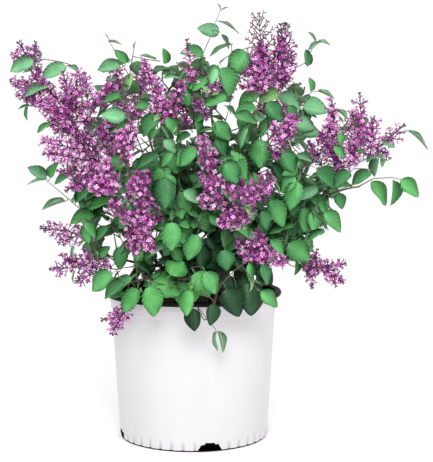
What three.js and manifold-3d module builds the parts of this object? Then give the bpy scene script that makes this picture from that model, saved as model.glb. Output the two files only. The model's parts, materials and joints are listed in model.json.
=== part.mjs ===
// A lilac shrub in bloom in its nursery pot. Millimetres, +Z up; the origin is the centre of the pot's
// underside. A root crown stands on the potting mix. Canes rise from it, side boughs fork off the canes, and
// each limb carries one mass: a stem with twigs, opposite pairs of leaves, and a panicle of blossom on its
// flowering tips.

import * as THREE from "three";
import { mergeVertices } from "three/addons/utils/BufferGeometryUtils.js";
import Module from "manifold-3d";

const wasm = await Module();
wasm.setup();

// ---------------------------------------------------------------- driving sizes

const CLEARANCE = 0.3; // between pieces that touch on the real plant

const SLIGHT = 0.05; // detail smaller than this is let go

const POT = {
  height: 234,
  baseRadius: 118.2,
  neckRadius: 132.5, // the wall right under the lip
  lipRadius: 140,
  lipHeight: 8,
  wall: 1.8,
  floor: 2.6,
  shoulderDrop: 20, // from the neck down to the nesting step
  shoulderStep: 1.2,
  sides: 64, // two for each flute
  fluteHeight: 15,
  fluteDepth: 1.5,
  drains: 4,
  drainTurn: -80, // heading of the first drain, degrees
  drainWidth: 38,
  drainHeight: 14,
  drainReach: 16, // how far a drain runs in under the floor
};

const MIX = { drop: 27, mound: 5, sides: 32, chamfer: 18 };

const ROOT_CROWN = { radius: 18, footRadius: 25, centre: 16, sides: 12 };

const CANE = { rootRadius: 3.7, sides: 6, steps: 4, handle: 0.38 };
const BOUGH = { rootRadius: 2.6, sides: 5, steps: 3, angle: 42, handle: 0.36 };
const LIMB_TIP_RADIUS = 1.8;
const LIMB_ROOM = 1.5; // kept free round a limb
const POT_ROOM = 2.5; // kept free round the pot and over it
const TWIG_ROOM = 2; // kept free round a twig, a leaf's probes and a panicle's, besides LIMB_ROOM
const LEAF_ROOM = 4;
const BLOOM_ROOM = 4;

const STEM = { tipRadius: 1.0, steps: 3, entry: 0.8, end: 0.8, floweringEnd: 0.22, lift: 14 };
const TWIG = {
  pairs: 3, // along a stem that flowers
  pairsLeafy: 4, // along a stem that doesn't
  angle: 52, // off the stem, degrees
  rise: 0.22, // how strongly it turns up towards the light
  rootRadius: 1.25,
  tipRadius: 0.75,
  least: 16,
  leastFlowering: 8,
  most: 84,
  room: 0.7, // share of the free way to the edge of the mass's space that it takes
  flowering: 0.3, // that share on a twig that ends in a panicle
};
const LEAF = {
  spacing: 34, // between pairs of leaves along a twig
  stalk: 9,
  least: 36,
  most: 50,
  breadth: 0.84, // of the blade's length
  thickness: 1.1,
  fold: 0.1,
  droop: 0.16,
  slack: 14, // how far a blade may stand out of the ball of its mass
  forward: 0.45, // how far a blade leans along its shoot, for 1 outwards
  hang: 0.25, // how far it leans down
  tilt: 0.5, // the whole spread of that lean
  roll: 0.8, // how far a blade may be turned about its midrib, radians
  apart: 21, // least distance between the middles of two blades
  tries: [
    [0, 1],
    [0.7, 0.88],
    [-0.7, 0.8],
    [1.5, 0.72],
  ], // turn about the shoot, in radians, and share of its size
};
const PANICLE = { least: 46, most: 112, slack: 10, slimness: 0.27, round: 6, tiers: 4, hollow: 0.6 };

const COLOURS = {
  pot: 0xf3f1f4,
  mix: 0x2c211a,
  crown: 0x6b5845,
  limb: 0x7a6552,
  leafy: 0x4e9a52,
  flowering: 0x9c4f9e,
};

// Limbs and their masses. heading is the angle round the pot's axis (0 is +X, 90 is +Y), out and height
// place the middle of the mass's space, reach is that space's radius, and rise is the angle at which the
// mass grows above level. A cane springs from the root crown at slope; a bough forks off limb "from" at a
// share "at" of its length.
const LIMBS = [
  { name: "far_left", slope: 36,
    heading: 184, out: 256, height: 582, reach: 56, rise: 48, blooms: 3, seed: 11 },
  { name: "left_bloom", from: "far_left", at: 0.5,
    heading: 195, out: 176, height: 516, reach: 85, rise: 42, blooms: 7, seed: 23 },
  { name: "left_side", from: "far_left", at: 0.32,
    heading: 185, out: 186, height: 404, reach: 78, rise: 28, blooms: 5, seed: 31 },
  { name: "low_left", from: "far_left", at: 0.14,
    heading: 192, out: 188, height: 304, reach: 60, rise: 14, blooms: 3, seed: 41 },
  { name: "front_low", slope: 14,
    heading: 262, out: 177, height: 262, reach: 61, rise: -10, blooms: 0, seed: 199 },
  { name: "front_left", from: "front_low", at: 0.3,
    heading: 226, out: 165, height: 252, reach: 56, rise: -10, blooms: 1, seed: 53 },
  { name: "centre_left", slope: 40,
    heading: 240, out: 162, height: 387, reach: 81, rise: 55, blooms: 5, seed: 61 },
  { name: "top_left", slope: 66,
    heading: 165, out: 115, height: 573, reach: 77, rise: 66, blooms: 2, seed: 71 },
  { name: "top_middle", from: "top_left", at: 0.55,
    heading: 230, out: 58, height: 549, reach: 74, rise: 66, blooms: 3, seed: 73 },
  { name: "top_right", slope: 66,
    heading: 347, out: 133, height: 597, reach: 69, rise: 68, blooms: 4, seed: 83 },
  { name: "top_shoot", from: "top_right", at: 0.5,
    heading: 49, out: 53, height: 632, reach: 58, rise: 80, blooms: 0, seed: 97 },
  { name: "centre_top", from: "top_right", at: 0.4,
    heading: 311, out: 80, height: 503, reach: 76, rise: 62, blooms: 1, seed: 101 },
  { name: "far_right", slope: 38,
    heading: 4, out: 326, height: 478, reach: 43, rise: 24, blooms: 1, seed: 113 },
  { name: "right_bloom", from: "far_right", at: 0.6,
    heading: 355, out: 235, height: 479, reach: 81, rise: 40, blooms: 6, seed: 127 },
  { name: "right_side", from: "far_right", at: 0.5,
    heading: 352, out: 302, height: 404, reach: 51, rise: 6, blooms: 0, seed: 131 },
  { name: "upper_right", from: "top_right", at: 0.62,
    heading: 16, out: 181, height: 534, reach: 67, rise: 50, blooms: 0, seed: 149 },
  { name: "middle_right", slope: 42,
    heading: 336, out: 174, height: 422, reach: 85, rise: 34, blooms: 2, seed: 151 },
  { name: "low_right", from: "middle_right", at: 0.3,
    heading: 345, out: 198, height: 294, reach: 59, rise: 8, blooms: 2, seed: 163 },
  { name: "centre_bloom", slope: 38,
    heading: 293, out: 163, height: 407, reach: 81, rise: 50, blooms: 4, seed: 173 },
  { name: "front_right", from: "centre_bloom", at: 0.3,
    heading: 304, out: 169, height: 288, reach: 72, rise: 10, blooms: 2, seed: 191 },
  { name: "hanging", from: "front_right", at: 0.6,
    heading: 282, out: 184, height: 204, reach: 33, rise: -50, blooms: 0, seed: 205 },
  { name: "front_middle", from: "centre_left", at: 0.36,
    heading: 262, out: 116, height: 340, reach: 80, rise: 40, blooms: 0, seed: 211 },
  { name: "back_left", slope: 44,
    heading: 128, out: 178, height: 500, reach: 104, rise: 54, blooms: 2, seed: 223 },
  { name: "back_left_low", from: "back_left", at: 0.3,
    heading: 140, out: 194, height: 342, reach: 90, rise: 14, blooms: 1, seed: 227 },
  { name: "back_top", slope: 62,
    heading: 85, out: 118, height: 560, reach: 86, rise: 66, blooms: 2, seed: 233 },
  { name: "back_middle", from: "back_top", at: 0.34,
    heading: 90, out: 196, height: 402, reach: 92, rise: 26, blooms: 2, seed: 241 },
  { name: "back_right", slope: 40,
    heading: 47, out: 203, height: 478, reach: 92, rise: 48, blooms: 2, seed: 251 },
  { name: "back_right_low", from: "back_right", at: 0.3,
    heading: 41, out: 206, height: 318, reach: 90, rise: 10, blooms: 1, seed: 257 },
];

// ---------------------------------------------------------------- helpers

const UP = new THREE.Vector3(0, 0, 1);
const radians = THREE.MathUtils.degToRad;
const mixTop = POT.height - MIX.drop;
const crownMiddle = new THREE.Vector3(0, 0, mixTop + MIX.mound + ROOT_CROWN.centre);

/** A repeatable stream of numbers from 0 to 1. */
function chanceFrom(seed) {
  let state = seed >>> 0;
  return () => {
    state = (state + 0x6d2b79f5) >>> 0;
    let t = Math.imul(state ^ (state >>> 15), 1 | state);
    t = (t + Math.imul(t ^ (t >>> 7), 61 | t)) ^ t;
    return ((t ^ (t >>> 14)) >>> 0) / 4294967296;
  };
}

/** The unit vector at a heading round the axis and a slope above level, in degrees. */
function direction(heading, slope) {
  const flat = Math.cos(radians(slope));
  return new THREE.Vector3(
    flat * Math.cos(radians(heading)),
    flat * Math.sin(radians(heading)),
    Math.sin(radians(slope)),
  );
}

/** A unit vector square to "along", turned round it by angle, in radians. */
function sideways(along, angle) {
  const level = new THREE.Vector3().crossVectors(along, UP);
  if (level.lengthSq() < 1e-6) level.set(1, 0, 0);
  return level.normalize().applyAxisAngle(along, angle);
}

/** What is left of v once its part along unit vector "along" is taken off, as a unit vector. */
function squareTo(v, along) {
  return v.clone().addScaledVector(along, -v.dot(along)).normalize();
}

function solidFrom(geometry) {
  const bare = new THREE.BufferGeometry().setAttribute("position", geometry.getAttribute("position"));
  bare.setIndex(geometry.index);
  const merged = mergeVertices(bare, 1e-3);
  return new wasm.Manifold(
    new wasm.Mesh({
      numProp: 3,
      vertProperties: merged.getAttribute("position").array,
      triVerts: new Uint32Array(merged.index.array),
    }),
  );
}

function geometryFrom(solid) {
  const mesh = solid.getMesh();
  const geometry = new THREE.BufferGeometry();
  geometry.setAttribute("position", new THREE.BufferAttribute(mesh.vertProperties, 3));
  geometry.setIndex(new THREE.BufferAttribute(mesh.triVerts, 1));
  return geometry;
}

/** The largest body of a solid. Chips cut off where surfaces only graze each other are left out. */
function mainBody(solid) {
  const bodies = solidFrom(geometryFrom(solid.simplify(SLIGHT))).decompose();
  return bodies.sort((a, b) => b.volume() - a.volume())[0];
}

/** The profile's points, [radius, height], turned round the Z axis. */
function turned(profile, sides) {
  const points = profile.map(([radius, height]) => new THREE.Vector2(radius, height));
  return new THREE.LatheGeometry(points, sides).rotateX(Math.PI / 2);
}

/**
 * A closed skin over rings of points, each turning the same way about the line they follow. It ends in the
 * points root and tip where they are given, and in flat caps otherwise.
 */
function skin(rings, { root = null, tip = null } = {}) {
  const sides = rings[0].length;
  const points = rings.flat();
  const faces = [];
  for (let k = 0; k < sides; k += 1) {
    const next = (k + 1) % sides;
    for (let row = 0; row < (rings.length - 1) * sides; row += sides) {
      faces.push(row + k, row + next, row + sides + next);
      faces.push(row + k, row + sides + next, row + sides + k);
    }
  }
  const last = points.length - sides;
  const cap = (corner, first, end, backwards) => {
    const turn = (a, b, c) => faces.push(...(backwards ? [a, c, b] : [a, b, c]));
    if (end) points.push(end);
    for (let k = end ? 0 : 1; k < (end ? sides : sides - 1); k += 1) {
      turn(end ? points.length - 1 : corner, first + k, first + ((k + 1) % sides));
    }
  };
  cap(0, 0, root, true);
  cap(last, last, tip, false);
  return new THREE.BufferGeometry().setFromPoints(points).setIndex(faces);
}

/** A round tube along a curve, its radius going evenly from rootRadius to tipRadius. */
function taperedTube(curve, rootRadius, tipRadius, sides, steps) {
  const { normals, binormals } = curve.computeFrenetFrames(steps, false);
  const rings = curve.getPoints(steps).map((middle, i) => {
    const radius = THREE.MathUtils.lerp(rootRadius, tipRadius, i / steps);
    return Array.from({ length: sides }, (_, k) => {
      const turn = (k / sides) * 2 * Math.PI;
      return middle
        .clone()
        .addScaledVector(normals[i], Math.cos(turn) * radius)
        .addScaledVector(binormals[i], Math.sin(turn) * radius);
    });
  });
  return skin(rings);
}

// ---------------------------------------------------------------- pot and potting mix

const wallRadiusAt = (height) =>
  THREE.MathUtils.lerp(POT.baseRadius, POT.neckRadius, height / (POT.height - POT.lipHeight));

const steppedRadiusAt = (height) => wallRadiusAt(height) - POT.shoulderStep;

const innerRadiusAt = (height) => steppedRadiusAt(height) - POT.wall;

/** A shallow flute between each two ribs, round the foot of the wall, fading out upwards. */
function flute(geometry) {
  const position = geometry.getAttribute("position");
  const v = new THREE.Vector3();
  for (let i = 0; i < position.count; i += 1) {
    v.fromBufferAttribute(position, i);
    const radius = Math.hypot(v.x, v.y);
    const turn = Math.round((Math.atan2(v.y, v.x) / (2 * Math.PI)) * POT.sides);
    const outside = radius > POT.baseRadius - POT.wall / 2;
    if (!outside || v.z >= POT.fluteHeight || turn % 2 === 0) continue;
    const inwards = 1 - (POT.fluteDepth * (1 - v.z / POT.fluteHeight)) / radius;
    position.setXYZ(i, v.x * inwards, v.y * inwards, v.z);
  }
  return geometry;
}

/** The solid that cuts one arched drain through the foot of the wall and the edge of the floor. */
function drainCutter(heading) {
  const half = POT.drainWidth / 2;
  const arch = new THREE.Shape([
    new THREE.Vector2(-half, -1),
    new THREE.Vector2(half, -1),
    new THREE.Vector2(half * 0.72, POT.drainHeight * 0.72),
    new THREE.Vector2(half * 0.42, POT.drainHeight),
    new THREE.Vector2(-half * 0.42, POT.drainHeight),
    new THREE.Vector2(-half * 0.72, POT.drainHeight * 0.72),
  ]);
  const cutter = new THREE.ExtrudeGeometry(arch, { depth: POT.drainReach * 2, bevelEnabled: false });
  cutter.rotateX(Math.PI / 2).rotateZ(Math.PI / 2);
  cutter.translate(POT.baseRadius - POT.drainReach, 0, 0);
  return cutter.rotateZ(radians(heading));
}

function makePot() {
  const { height, lipRadius, lipHeight, neckRadius, shoulderDrop, fluteHeight, wall, floor } = POT;
  const neck = height - lipHeight;
  const shoulder = neck - shoulderDrop;
  const profile = [
    [0, 0],
    [steppedRadiusAt(0), 0],
    [steppedRadiusAt(fluteHeight), fluteHeight],
    [steppedRadiusAt(shoulder), shoulder],
    [wallRadiusAt(shoulder + 2), shoulder + 2],
    [neckRadius, neck],
    [lipRadius - 1, neck],
    [lipRadius, neck + 2],
    [lipRadius - 2, height],
    [neckRadius - wall, height - 1],
    [neckRadius - wall, neck - 2],
    [innerRadiusAt(floor), floor],
    [0, floor],
  ];
  let pot = solidFrom(flute(turned(profile, POT.sides)));
  for (let drain = 0; drain < POT.drains; drain += 1) {
    const heading = POT.drainTurn + (360 / POT.drains) * drain;
    pot = pot.subtract(solidFrom(drainCutter(heading)));
  }
  return geometryFrom(pot);
}

function makeMix() {
  const bottom = POT.floor + CLEARANCE;
  const edge = (height) => innerRadiusAt(height) - 2 * CLEARANCE;
  const profile = [
    [0, bottom],
    [edge(bottom) - MIX.chamfer, bottom],
    [edge(bottom + MIX.chamfer), bottom + MIX.chamfer],
    [edge(mixTop), mixTop - 3],
    [edge(mixTop) * 0.62, mixTop + MIX.mound * 0.7],
    [ROOT_CROWN.footRadius + 4, mixTop + MIX.mound],
    [0, mixTop + MIX.mound],
  ];
  return turned(profile, MIX.sides);
}

function makeRootCrown() {
  const { radius, footRadius, centre, sides } = ROOT_CROWN;
  const foot = mixTop + MIX.mound + CLEARANCE;
  const middle = crownMiddle.z;
  const at = (angle) => [radius * Math.cos(radians(angle)), middle + radius * Math.sin(radians(angle))];
  const flare = [footRadius - 3, foot + centre * 0.22];
  const dome = [-20, 12, 45, 72].map(at);
  return turned([[0, foot], [footRadius, foot], flare, ...dome, [0, middle + radius]], sides);
}

// ---------------------------------------------------------------- limbs

/** A tapering rod of straight lengths between joints on a curve. */
class Rod {
  constructor(curve, rootRadius, tipRadius, steps) {
    Object.assign(this, { curve, rootRadius, tipRadius, steps });
    this.joints = curve.getPoints(steps);
    this.length = curve.getLength();
  }

  /** The point on its centre line at a share of the way along it. */
  at(share) {
    const step = Math.min(Math.floor(share * this.steps), this.steps - 1);
    return this.joints[step].clone().lerp(this.joints[step + 1], share * this.steps - step);
  }

  along(share) {
    return this.curve.getTangent(share);
  }

  radiusAt(share) {
    return THREE.MathUtils.lerp(this.rootRadius, this.tipRadius, share);
  }

  /** Balls along it that other things keep out of, as far apart as spacing. */
  marks(spacing, margin) {
    const count = Math.ceil(this.length / spacing);
    const shares = Array.from({ length: count + 1 }, (_, i) => i / count);
    return shares.map((share) => new Mark(this.at(share), this.radiusAt(share) + margin, this));
  }
}

/** A ball that other things keep out of; owner is what it belongs to. */
class Mark {
  constructor(point, radius, owner = null) {
    Object.assign(this, { point, radius, owner });
  }

  holds(other, margin = 0) {
    return other.distanceTo(this.point) < this.radius + margin;
  }
}

/** A cane or a bough. */
class Limb extends Rod {
  constructor(curve, form) {
    super(curve, form.rootRadius, LIMB_TIP_RADIUS, form.steps);
    this.sides = form.sides;
  }

  makeGeometry() {
    return taperedTube(this.curve, this.rootRadius, this.tipRadius, this.sides, this.steps);
  }
}

const middleOf = (row) =>
  direction(row.heading, 0)
    .multiplyScalar(row.out)
    .setZ(row.height);

const growthOf = (row) => direction(row.heading, row.rise);

/** Where a mass's stem starts: at the inner side of its space. */
const entryOf = (row) => middleOf(row).addScaledVector(growthOf(row), -STEM.entry * row.reach);

function limbCurve(start, startWay, row, handle) {
  const growth = growthOf(row);
  const end = entryOf(row).addScaledVector(growth, -CLEARANCE);
  const hold = start.distanceTo(end) * handle;
  return new THREE.CubicBezierCurve3(
    start,
    start.clone().addScaledVector(startWay, hold),
    end.clone().addScaledVector(growth, -hold),
    end,
  );
}

function makeCane(row) {
  const way = direction(row.heading, row.slope);
  const start = crownMiddle.clone().addScaledVector(way, ROOT_CROWN.radius + CLEARANCE);
  return new Limb(limbCurve(start, way, row, CANE.handle), CANE);
}

function makeBough(row, parent) {
  const fork = parent.at(row.at);
  const along = parent.at(row.at + 0.01).sub(fork).normalize();
  const aside = squareTo(entryOf(row).sub(fork), along);
  const angle = radians(BOUGH.angle);
  const way = along.clone().multiplyScalar(Math.cos(angle)).addScaledVector(aside, Math.sin(angle));
  const off = parent.radiusAt(row.at) + CLEARANCE + BOUGH.rootRadius * Math.cos(angle);
  const start = fork.clone().addScaledVector(aside, off);
  return new Limb(limbCurve(start, way, row, BOUGH.handle), BOUGH);
}

const limbs = new Map();
for (const row of LIMBS) {
  limbs.set(row.name, row.from ? makeBough(row, limbs.get(row.from)) : makeCane(row));
}

// ---------------------------------------------------------------- the space of a mass

/**
 * A mass keeps to a ball, and where two balls meet, to its own side of the flat between them. It also keeps
 * out of the pot, and clear of every limb.
 */
class Space {
  constructor(row) {
    this.middle = middleOf(row);
    this.reach = row.reach;
    this.others = LIMBS.filter((other) => other !== row)
      .map((other) => ({ middle: middleOf(other), reach: other.reach }))
      .filter((other) => other.middle.distanceTo(this.middle) < other.reach + this.reach + 2 * LEAF.slack);
    this.marks = [...limbs.values()]
      .flatMap((limb) => limb.marks(3, LIMB_ROOM))
      .filter((mark) => mark.point.distanceTo(this.middle) < this.reach + LEAF.slack + 8);
  }

  /** Whether a point is in the space, or no more than slack outside its ball, and on its own side. */
  holds(point, slack = 0) {
    if (point.distanceTo(this.middle) > this.reach + slack) return false;
    const own = point.distanceToSquared(this.middle) - this.reach ** 2;
    const overPot = Math.hypot(point.x, point.y) < POT.lipRadius + POT_ROOM;
    if (overPot && point.z < POT.height + POT_ROOM) return false;
    return this.others.every((other) => {
      const theirs = point.distanceToSquared(other.middle) - other.reach ** 2;
      return theirs - own > 2 * other.middle.distanceTo(this.middle);
    });
  }

  /** Whether a round thing at a point keeps clear of every limb. */
  clear(point, radius = 0) {
    return this.marks.every((mark) => !mark.holds(point, radius));
  }

  /** How far it is from a point, along a way, to the edge of the space. */
  room(start, way) {
    const pace = 4;
    let far = pace;
    while (this.holds(start.clone().addScaledVector(way, far)) && far < 2 * this.reach) far += pace;
    return far - pace;
  }
}

// ---------------------------------------------------------------- leaves and panicles

/** A leaf: root, broad shoulders, flanks and a drooping pointed tip, arched over, with a keel below. */
class Leaf {
  constructor(root, along, facing, blade) {
    const length = LEAF.stalk + blade;
    const half = (blade * LEAF.breadth) / 2;
    const fold = LEAF.fold * blade;
    const sag = LEAF.droop * blade;
    const left = new THREE.Vector3().crossVectors(facing, along);
    const at = (share, side, lift) =>
      root
        .clone()
        .addScaledVector(along, share * length)
        .addScaledVector(left, side * half)
        .addScaledVector(facing, lift - share * sag);
    this.facing = facing;
    this.half = half;
    this.middle = at(0.6, 0, 0);
    this.corners = [
      at(0, 0, 0),
      at(0.34, -0.96, fold),
      at(0.66, -0.84, fold),
      at(1, 0, 0),
      at(0.66, 0.84, fold),
      at(0.34, 0.96, fold),
      at(0.3, 0, -LEAF.thickness),
    ];
    this.probes = this.makeProbes();
  }

  /** Points over the blade, by which it is kept in its space and clear of other things. */
  makeProbes() {
    const [root, , , tip] = this.corners;
    const outline = this.corners.slice(1, 6);
    const halfway = outline.map((corner) => corner.clone().lerp(this.middle, 0.5));
    const midrib = [0.25, 0.4, 0.8].map((share) => root.clone().lerp(tip, share));
    return [...outline, ...halfway, ...midrib, this.middle];
  }

  /** Whether some of a leaf's probes lie through this blade or close on it. */
  isCutBy(other) {
    const near = other.probes.filter((probe) => probe.distanceTo(this.middle) < this.half * 1.15);
    const heights = near.map((probe) => probe.clone().sub(this.middle).dot(this.facing));
    return Math.min(...heights) < 1.5 && Math.max(...heights) > -1.5;
  }

  meets(other) {
    return other.middle.distanceTo(this.middle) < LEAF.apart || this.isCutBy(other) || other.isCutBy(this);
  }

  makeGeometry() {
    const geometry = new THREE.BufferGeometry().setFromPoints(this.corners);
    const topSide = [0, 1, 5, 1, 2, 4, 1, 4, 5, 2, 3, 4];
    const keelSide = [0, 1, 2, 3, 4, 5].flatMap((corner) => [(corner + 1) % 6, corner, 6]);
    return geometry.setIndex([...topSide, ...keelSide]);
  }
}

/** A panicle: a tapering spike whose corners stand out and in by turns, one for each knot of florets. */
class Panicle {
  constructor(base, way, length) {
    Object.assign(this, { base, way, length, radius: length * PANICLE.slimness });
  }

  point(share, side = 0, turn = 0) {
    const off = sideways(this.way, turn).multiplyScalar(side * this.radius);
    return this.base
      .clone()
      .addScaledVector(this.way, share * this.length)
      .add(off);
  }

  /** Its radius at a share of its length, as a part of its greatest radius. */
  static girth(share) {
    return Math.min(1, 0.35 + share * 3.2) * (1 - 0.75 * share ** 1.3);
  }

  probes() {
    const ring = [0, 1, 2, 3, 4, 5].map((i) => (i * Math.PI) / 3);
    const around = (share) => ring.map((turn) => this.point(share, Panicle.girth(share), turn));
    return [this.point(1), this.point(0), ...around(0.2), ...around(0.5)];
  }

  /** Balls that fill it, by which leaves keep out of it. */
  marks() {
    const shares = [0.15, 0.35, 0.55, 0.75, 0.92];
    return shares.map((share) => new Mark(this.point(share), Panicle.girth(share) * this.radius));
  }

  meets(other) {
    const theirs = other.marks();
    const touch = (a, b) => a.point.distanceTo(b.point) < (a.radius + b.radius) * 0.9;
    return this.marks().some((own) => theirs.some((their) => touch(own, their)));
  }

  makeGeometry() {
    const { round, tiers, hollow } = PANICLE;
    const rings = [];
    for (let tier = 0; tier < tiers; tier += 1) {
      const share = tier / tiers;
      const corner = (k) => {
        const girth = Panicle.girth(share) * ((k + tier) % 2 ? hollow : 1);
        return this.point(share, girth, (k / round) * 2 * Math.PI);
      };
      rings.push(Array.from({ length: round }, (_, k) => corner(k)));
    }
    return skin(rings, { tip: this.point(1) });
  }
}

// ---------------------------------------------------------------- masses

/** A three-sided stem or twig. Twigs and leaves are rooted on its centre line. */
class Shoot extends Rod {
  constructor(curve, rootRadius, tipRadius, steps, pointed) {
    super(curve, rootRadius, tipRadius, steps);
    this.pointed = pointed;
  }

  /** A three-sided tube along the joints. A twig comes to a point at its root, sunk in its stem. */
  makeGeometry() {
    const rings = this.joints.map((joint, i) => {
      const middle = i === 0 && this.pointed ? this.at(3 / this.length) : joint;
      const radius = this.radiusAt(i / this.steps);
      const along = this.along(i / this.steps);
      const corner = (k) => sideways(along, (k * 2 * Math.PI) / 3).multiplyScalar(radius).add(middle);
      return [0, 1, 2].map(corner);
    });
    return skin(rings, { root: this.pointed ? this.joints[0] : null });
  }
}

/** A mass's stem, from the limb's tip through its space, lifting a little towards its end. */
function makeStem(row) {
  const growth = growthOf(row);
  const start = entryOf(row);
  const lifted = direction(row.heading, Math.min(row.rise + STEM.lift, 88));
  const end = row.blooms > 0 ? STEM.floweringEnd : STEM.end;
  const tip = middleOf(row).addScaledVector(lifted, end * row.reach);
  const bend = start.clone().addScaledVector(growth, start.distanceTo(tip) * 0.5);
  const curve = new THREE.QuadraticBezierCurve3(start, bend, tip);
  return new Shoot(curve, LIMB_TIP_RADIUS, STEM.tipRadius, STEM.steps, false);
}

/** A twig that leaves in one way and turns up towards the light. */
function makeTwig(start, way, length) {
  const bend = start.clone().addScaledVector(way, length * 0.5);
  const onward = way.clone().addScaledVector(UP, TWIG.rise).normalize();
  const tip = bend.clone().addScaledVector(onward, length * 0.5);
  const curve = new THREE.QuadraticBezierCurve3(start, bend, tip);
  return new Shoot(curve, TWIG.rootRadius, TWIG.tipRadius, length > 60 ? 2 : 1, true);
}

/** Whether things of a radius at all the probes keep to the space and clear of the limbs. */
const stays = (space, probes, radius, slack = 0) =>
  probes.every((probe) => space.holds(probe, slack) && space.clear(probe, radius));

/** Where twigs can leave a stem, in pairs, each pair turned a quarter from the one below. */
function twigSites(stem, pairs, space, chance) {
  const sites = [];
  for (let pair = 0; pair < pairs; pair += 1) {
    const share = (pair + 0.6) / (pairs + 0.4);
    const start = stem.at(share);
    const along = stem.along(share);
    const turn = (pair % 2) * (Math.PI / 2) + (chance() - 0.5) * 0.8;
    for (const side of [0, Math.PI]) {
      const lean = radians(TWIG.angle + (chance() - 0.5) * 16);
      const aside = sideways(along, turn + side);
      const way = along.clone().multiplyScalar(Math.cos(lean)).addScaledVector(aside, Math.sin(lean));
      sites.push({ start, way, room: space.room(start, way) * (0.85 + 0.15 * chance()) });
    }
  }
  return sites;
}

/** The longest panicle that keeps to the space, or null. */
function fitPanicle(space, shoot, others) {
  const way = shoot.along(1);
  const base = shoot.at(1).addScaledVector(way, -2);
  const room = space.room(base, way) + PANICLE.slack;
  for (let length = Math.min(PANICLE.most, room); length >= PANICLE.least; length *= 0.88) {
    const panicle = new Panicle(base, way, length);
    const crowded = others.some((other) => other.meets(panicle));
    if (!crowded && stays(space, panicle.probes(), BLOOM_ROOM, PANICLE.slack)) return panicle;
  }
  return null;
}

class Mass {
  constructor(row) {
    this.row = row;
    this.space = new Space(row);
    this.chance = chanceFrom(row.seed);
    this.shoots = [];
    this.panicles = [];
    this.leaves = [];
    const stem = makeStem(row);
    this.addShoot(stem);
    twigSites(stem, row.blooms > 0 ? TWIG.pairs : TWIG.pairsLeafy, this.space, this.chance)
      .sort((a, b) => b.room - a.room)
      .forEach((site) => this.growTwig(site));
    const marks = [
      ...this.panicles.flatMap((panicle) => panicle.marks()),
      ...this.shoots.flatMap((shoot) => shoot.marks(7, 3)),
    ];
    this.shoots.forEach((shoot) => this.growLeaves(shoot, marks));
  }

  /** Puts in a shoot, with a panicle at its tip while the mass has fewer than its number of them. */
  addShoot(shoot) {
    this.shoots.push(shoot);
    const panicle = this.panicles.length < this.row.blooms && fitPanicle(this.space, shoot, this.panicles);
    if (panicle) this.panicles.push(panicle);
  }

  growTwig({ start, way, room }) {
    const flowers = this.panicles.length < this.row.blooms;
    const length = Math.min(TWIG.most, room * (flowers ? TWIG.flowering : TWIG.room));
    if (length < (flowers ? TWIG.leastFlowering : TWIG.least)) return;
    const twig = makeTwig(start, way, length);
    const path = twig.marks(5, 0).map((mark) => mark.point);
    if (stays(this.space, path.slice(1), TWIG_ROOM)) this.addShoot(twig);
  }

  growLeaves(shoot, marks) {
    const nodes = Math.max(1, Math.round(shoot.length / LEAF.spacing));
    const turn = this.chance() * Math.PI;
    for (let node = 1; node <= nodes; node += 1) {
      const share = node === nodes ? 0.95 : node / nodes;
      const quarter = turn + node * (Math.PI / 2);
      for (const side of [0, Math.PI]) this.setLeaf(shoot, share, quarter + side, marks);
    }
  }

  /** Sets one leaf on a shoot. One that doesn't fit is tried smaller and turned aside, or left out. */
  setLeaf(shoot, share, turn, marks) {
    const blade = THREE.MathUtils.lerp(LEAF.least, LEAF.most, this.chance());
    const tilt = (this.chance() - 0.5) * LEAF.tilt;
    const roll = (this.chance() - 0.5) * 2 * LEAF.roll;
    const root = shoot.at(share);
    const along = shoot.along(share);
    const light = root.clone().setZ(0).normalize().add(UP);
    for (const [twist, size] of LEAF.tries) {
      const way = sideways(along, turn + twist)
        .addScaledVector(along, LEAF.forward)
        .addScaledVector(UP, tilt - LEAF.hang)
        .normalize();
      const facing = squareTo(light, way).applyAxisAngle(way, roll);
      const leaf = new Leaf(root, way, facing, blade * size);
      const crowded = this.leaves.some((other) => other.meets(leaf));
      const touches = (mark) => leaf.probes.some((probe) => mark.holds(probe));
      const blocked = marks.some((mark) => mark.owner !== shoot && touches(mark));
      if (crowded || blocked || !stays(this.space, leaf.probes, LEAF_ROOM, LEAF.slack)) continue;
      this.leaves.push(leaf);
      return;
    }
  }

  makeGeometry() {
    const pieces = [...this.shoots, ...this.panicles, ...this.leaves];
    const solid = wasm.Manifold.union(pieces.map((piece) => solidFrom(piece.makeGeometry())));
    return geometryFrom(mainBody(mainBody(solid)));
  }
}

// ---------------------------------------------------------------- the assembly

const plant = new THREE.Group();
plant.name = "lilac_in_pot";

function add(name, geometry, colour, roughness) {
  const material = new THREE.MeshStandardMaterial({ color: colour, roughness, metalness: 0 });
  const mesh = new THREE.Mesh(geometry, material);
  mesh.name = name;
  plant.add(mesh);
}

add("pot", makePot(), COLOURS.pot, 0.4);
add("potting_mix", makeMix(), COLOURS.mix, 0.95);
add("root_crown", makeRootCrown(), COLOURS.crown, 0.9);
for (const row of LIMBS) {
  const kind = row.from ? "bough" : "cane";
  add(`${kind}_${row.name}`, limbs.get(row.name).makeGeometry(), COLOURS.limb, 0.85);
  const colour = row.blooms > 2 ? COLOURS.flowering : COLOURS.leafy;
  add(`mass_${row.name}`, new Mass(row).makeGeometry(), colour, 0.6);
}

export default plant;
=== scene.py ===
"""A lilac shrub in bloom in its nursery pot: the looks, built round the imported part.

Metres, +Z up, the pot's axis on Z and the viewer of the front at -Y. Stems, twigs, spurs, leaves and
panicles grow on the canes and boughs by the rule of the solids.
"""

import functools
import itertools
import json
from collections import namedtuple
from math import ceil, cos, degrees, dist, hypot, pi, radians, sin, sqrt

import bpy
import numpy as np
from bpy.props import FloatProperty, FloatVectorProperty, IntProperty, PointerProperty
from mathutils import Matrix, Vector, noise
from numpy.linalg import norm

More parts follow.
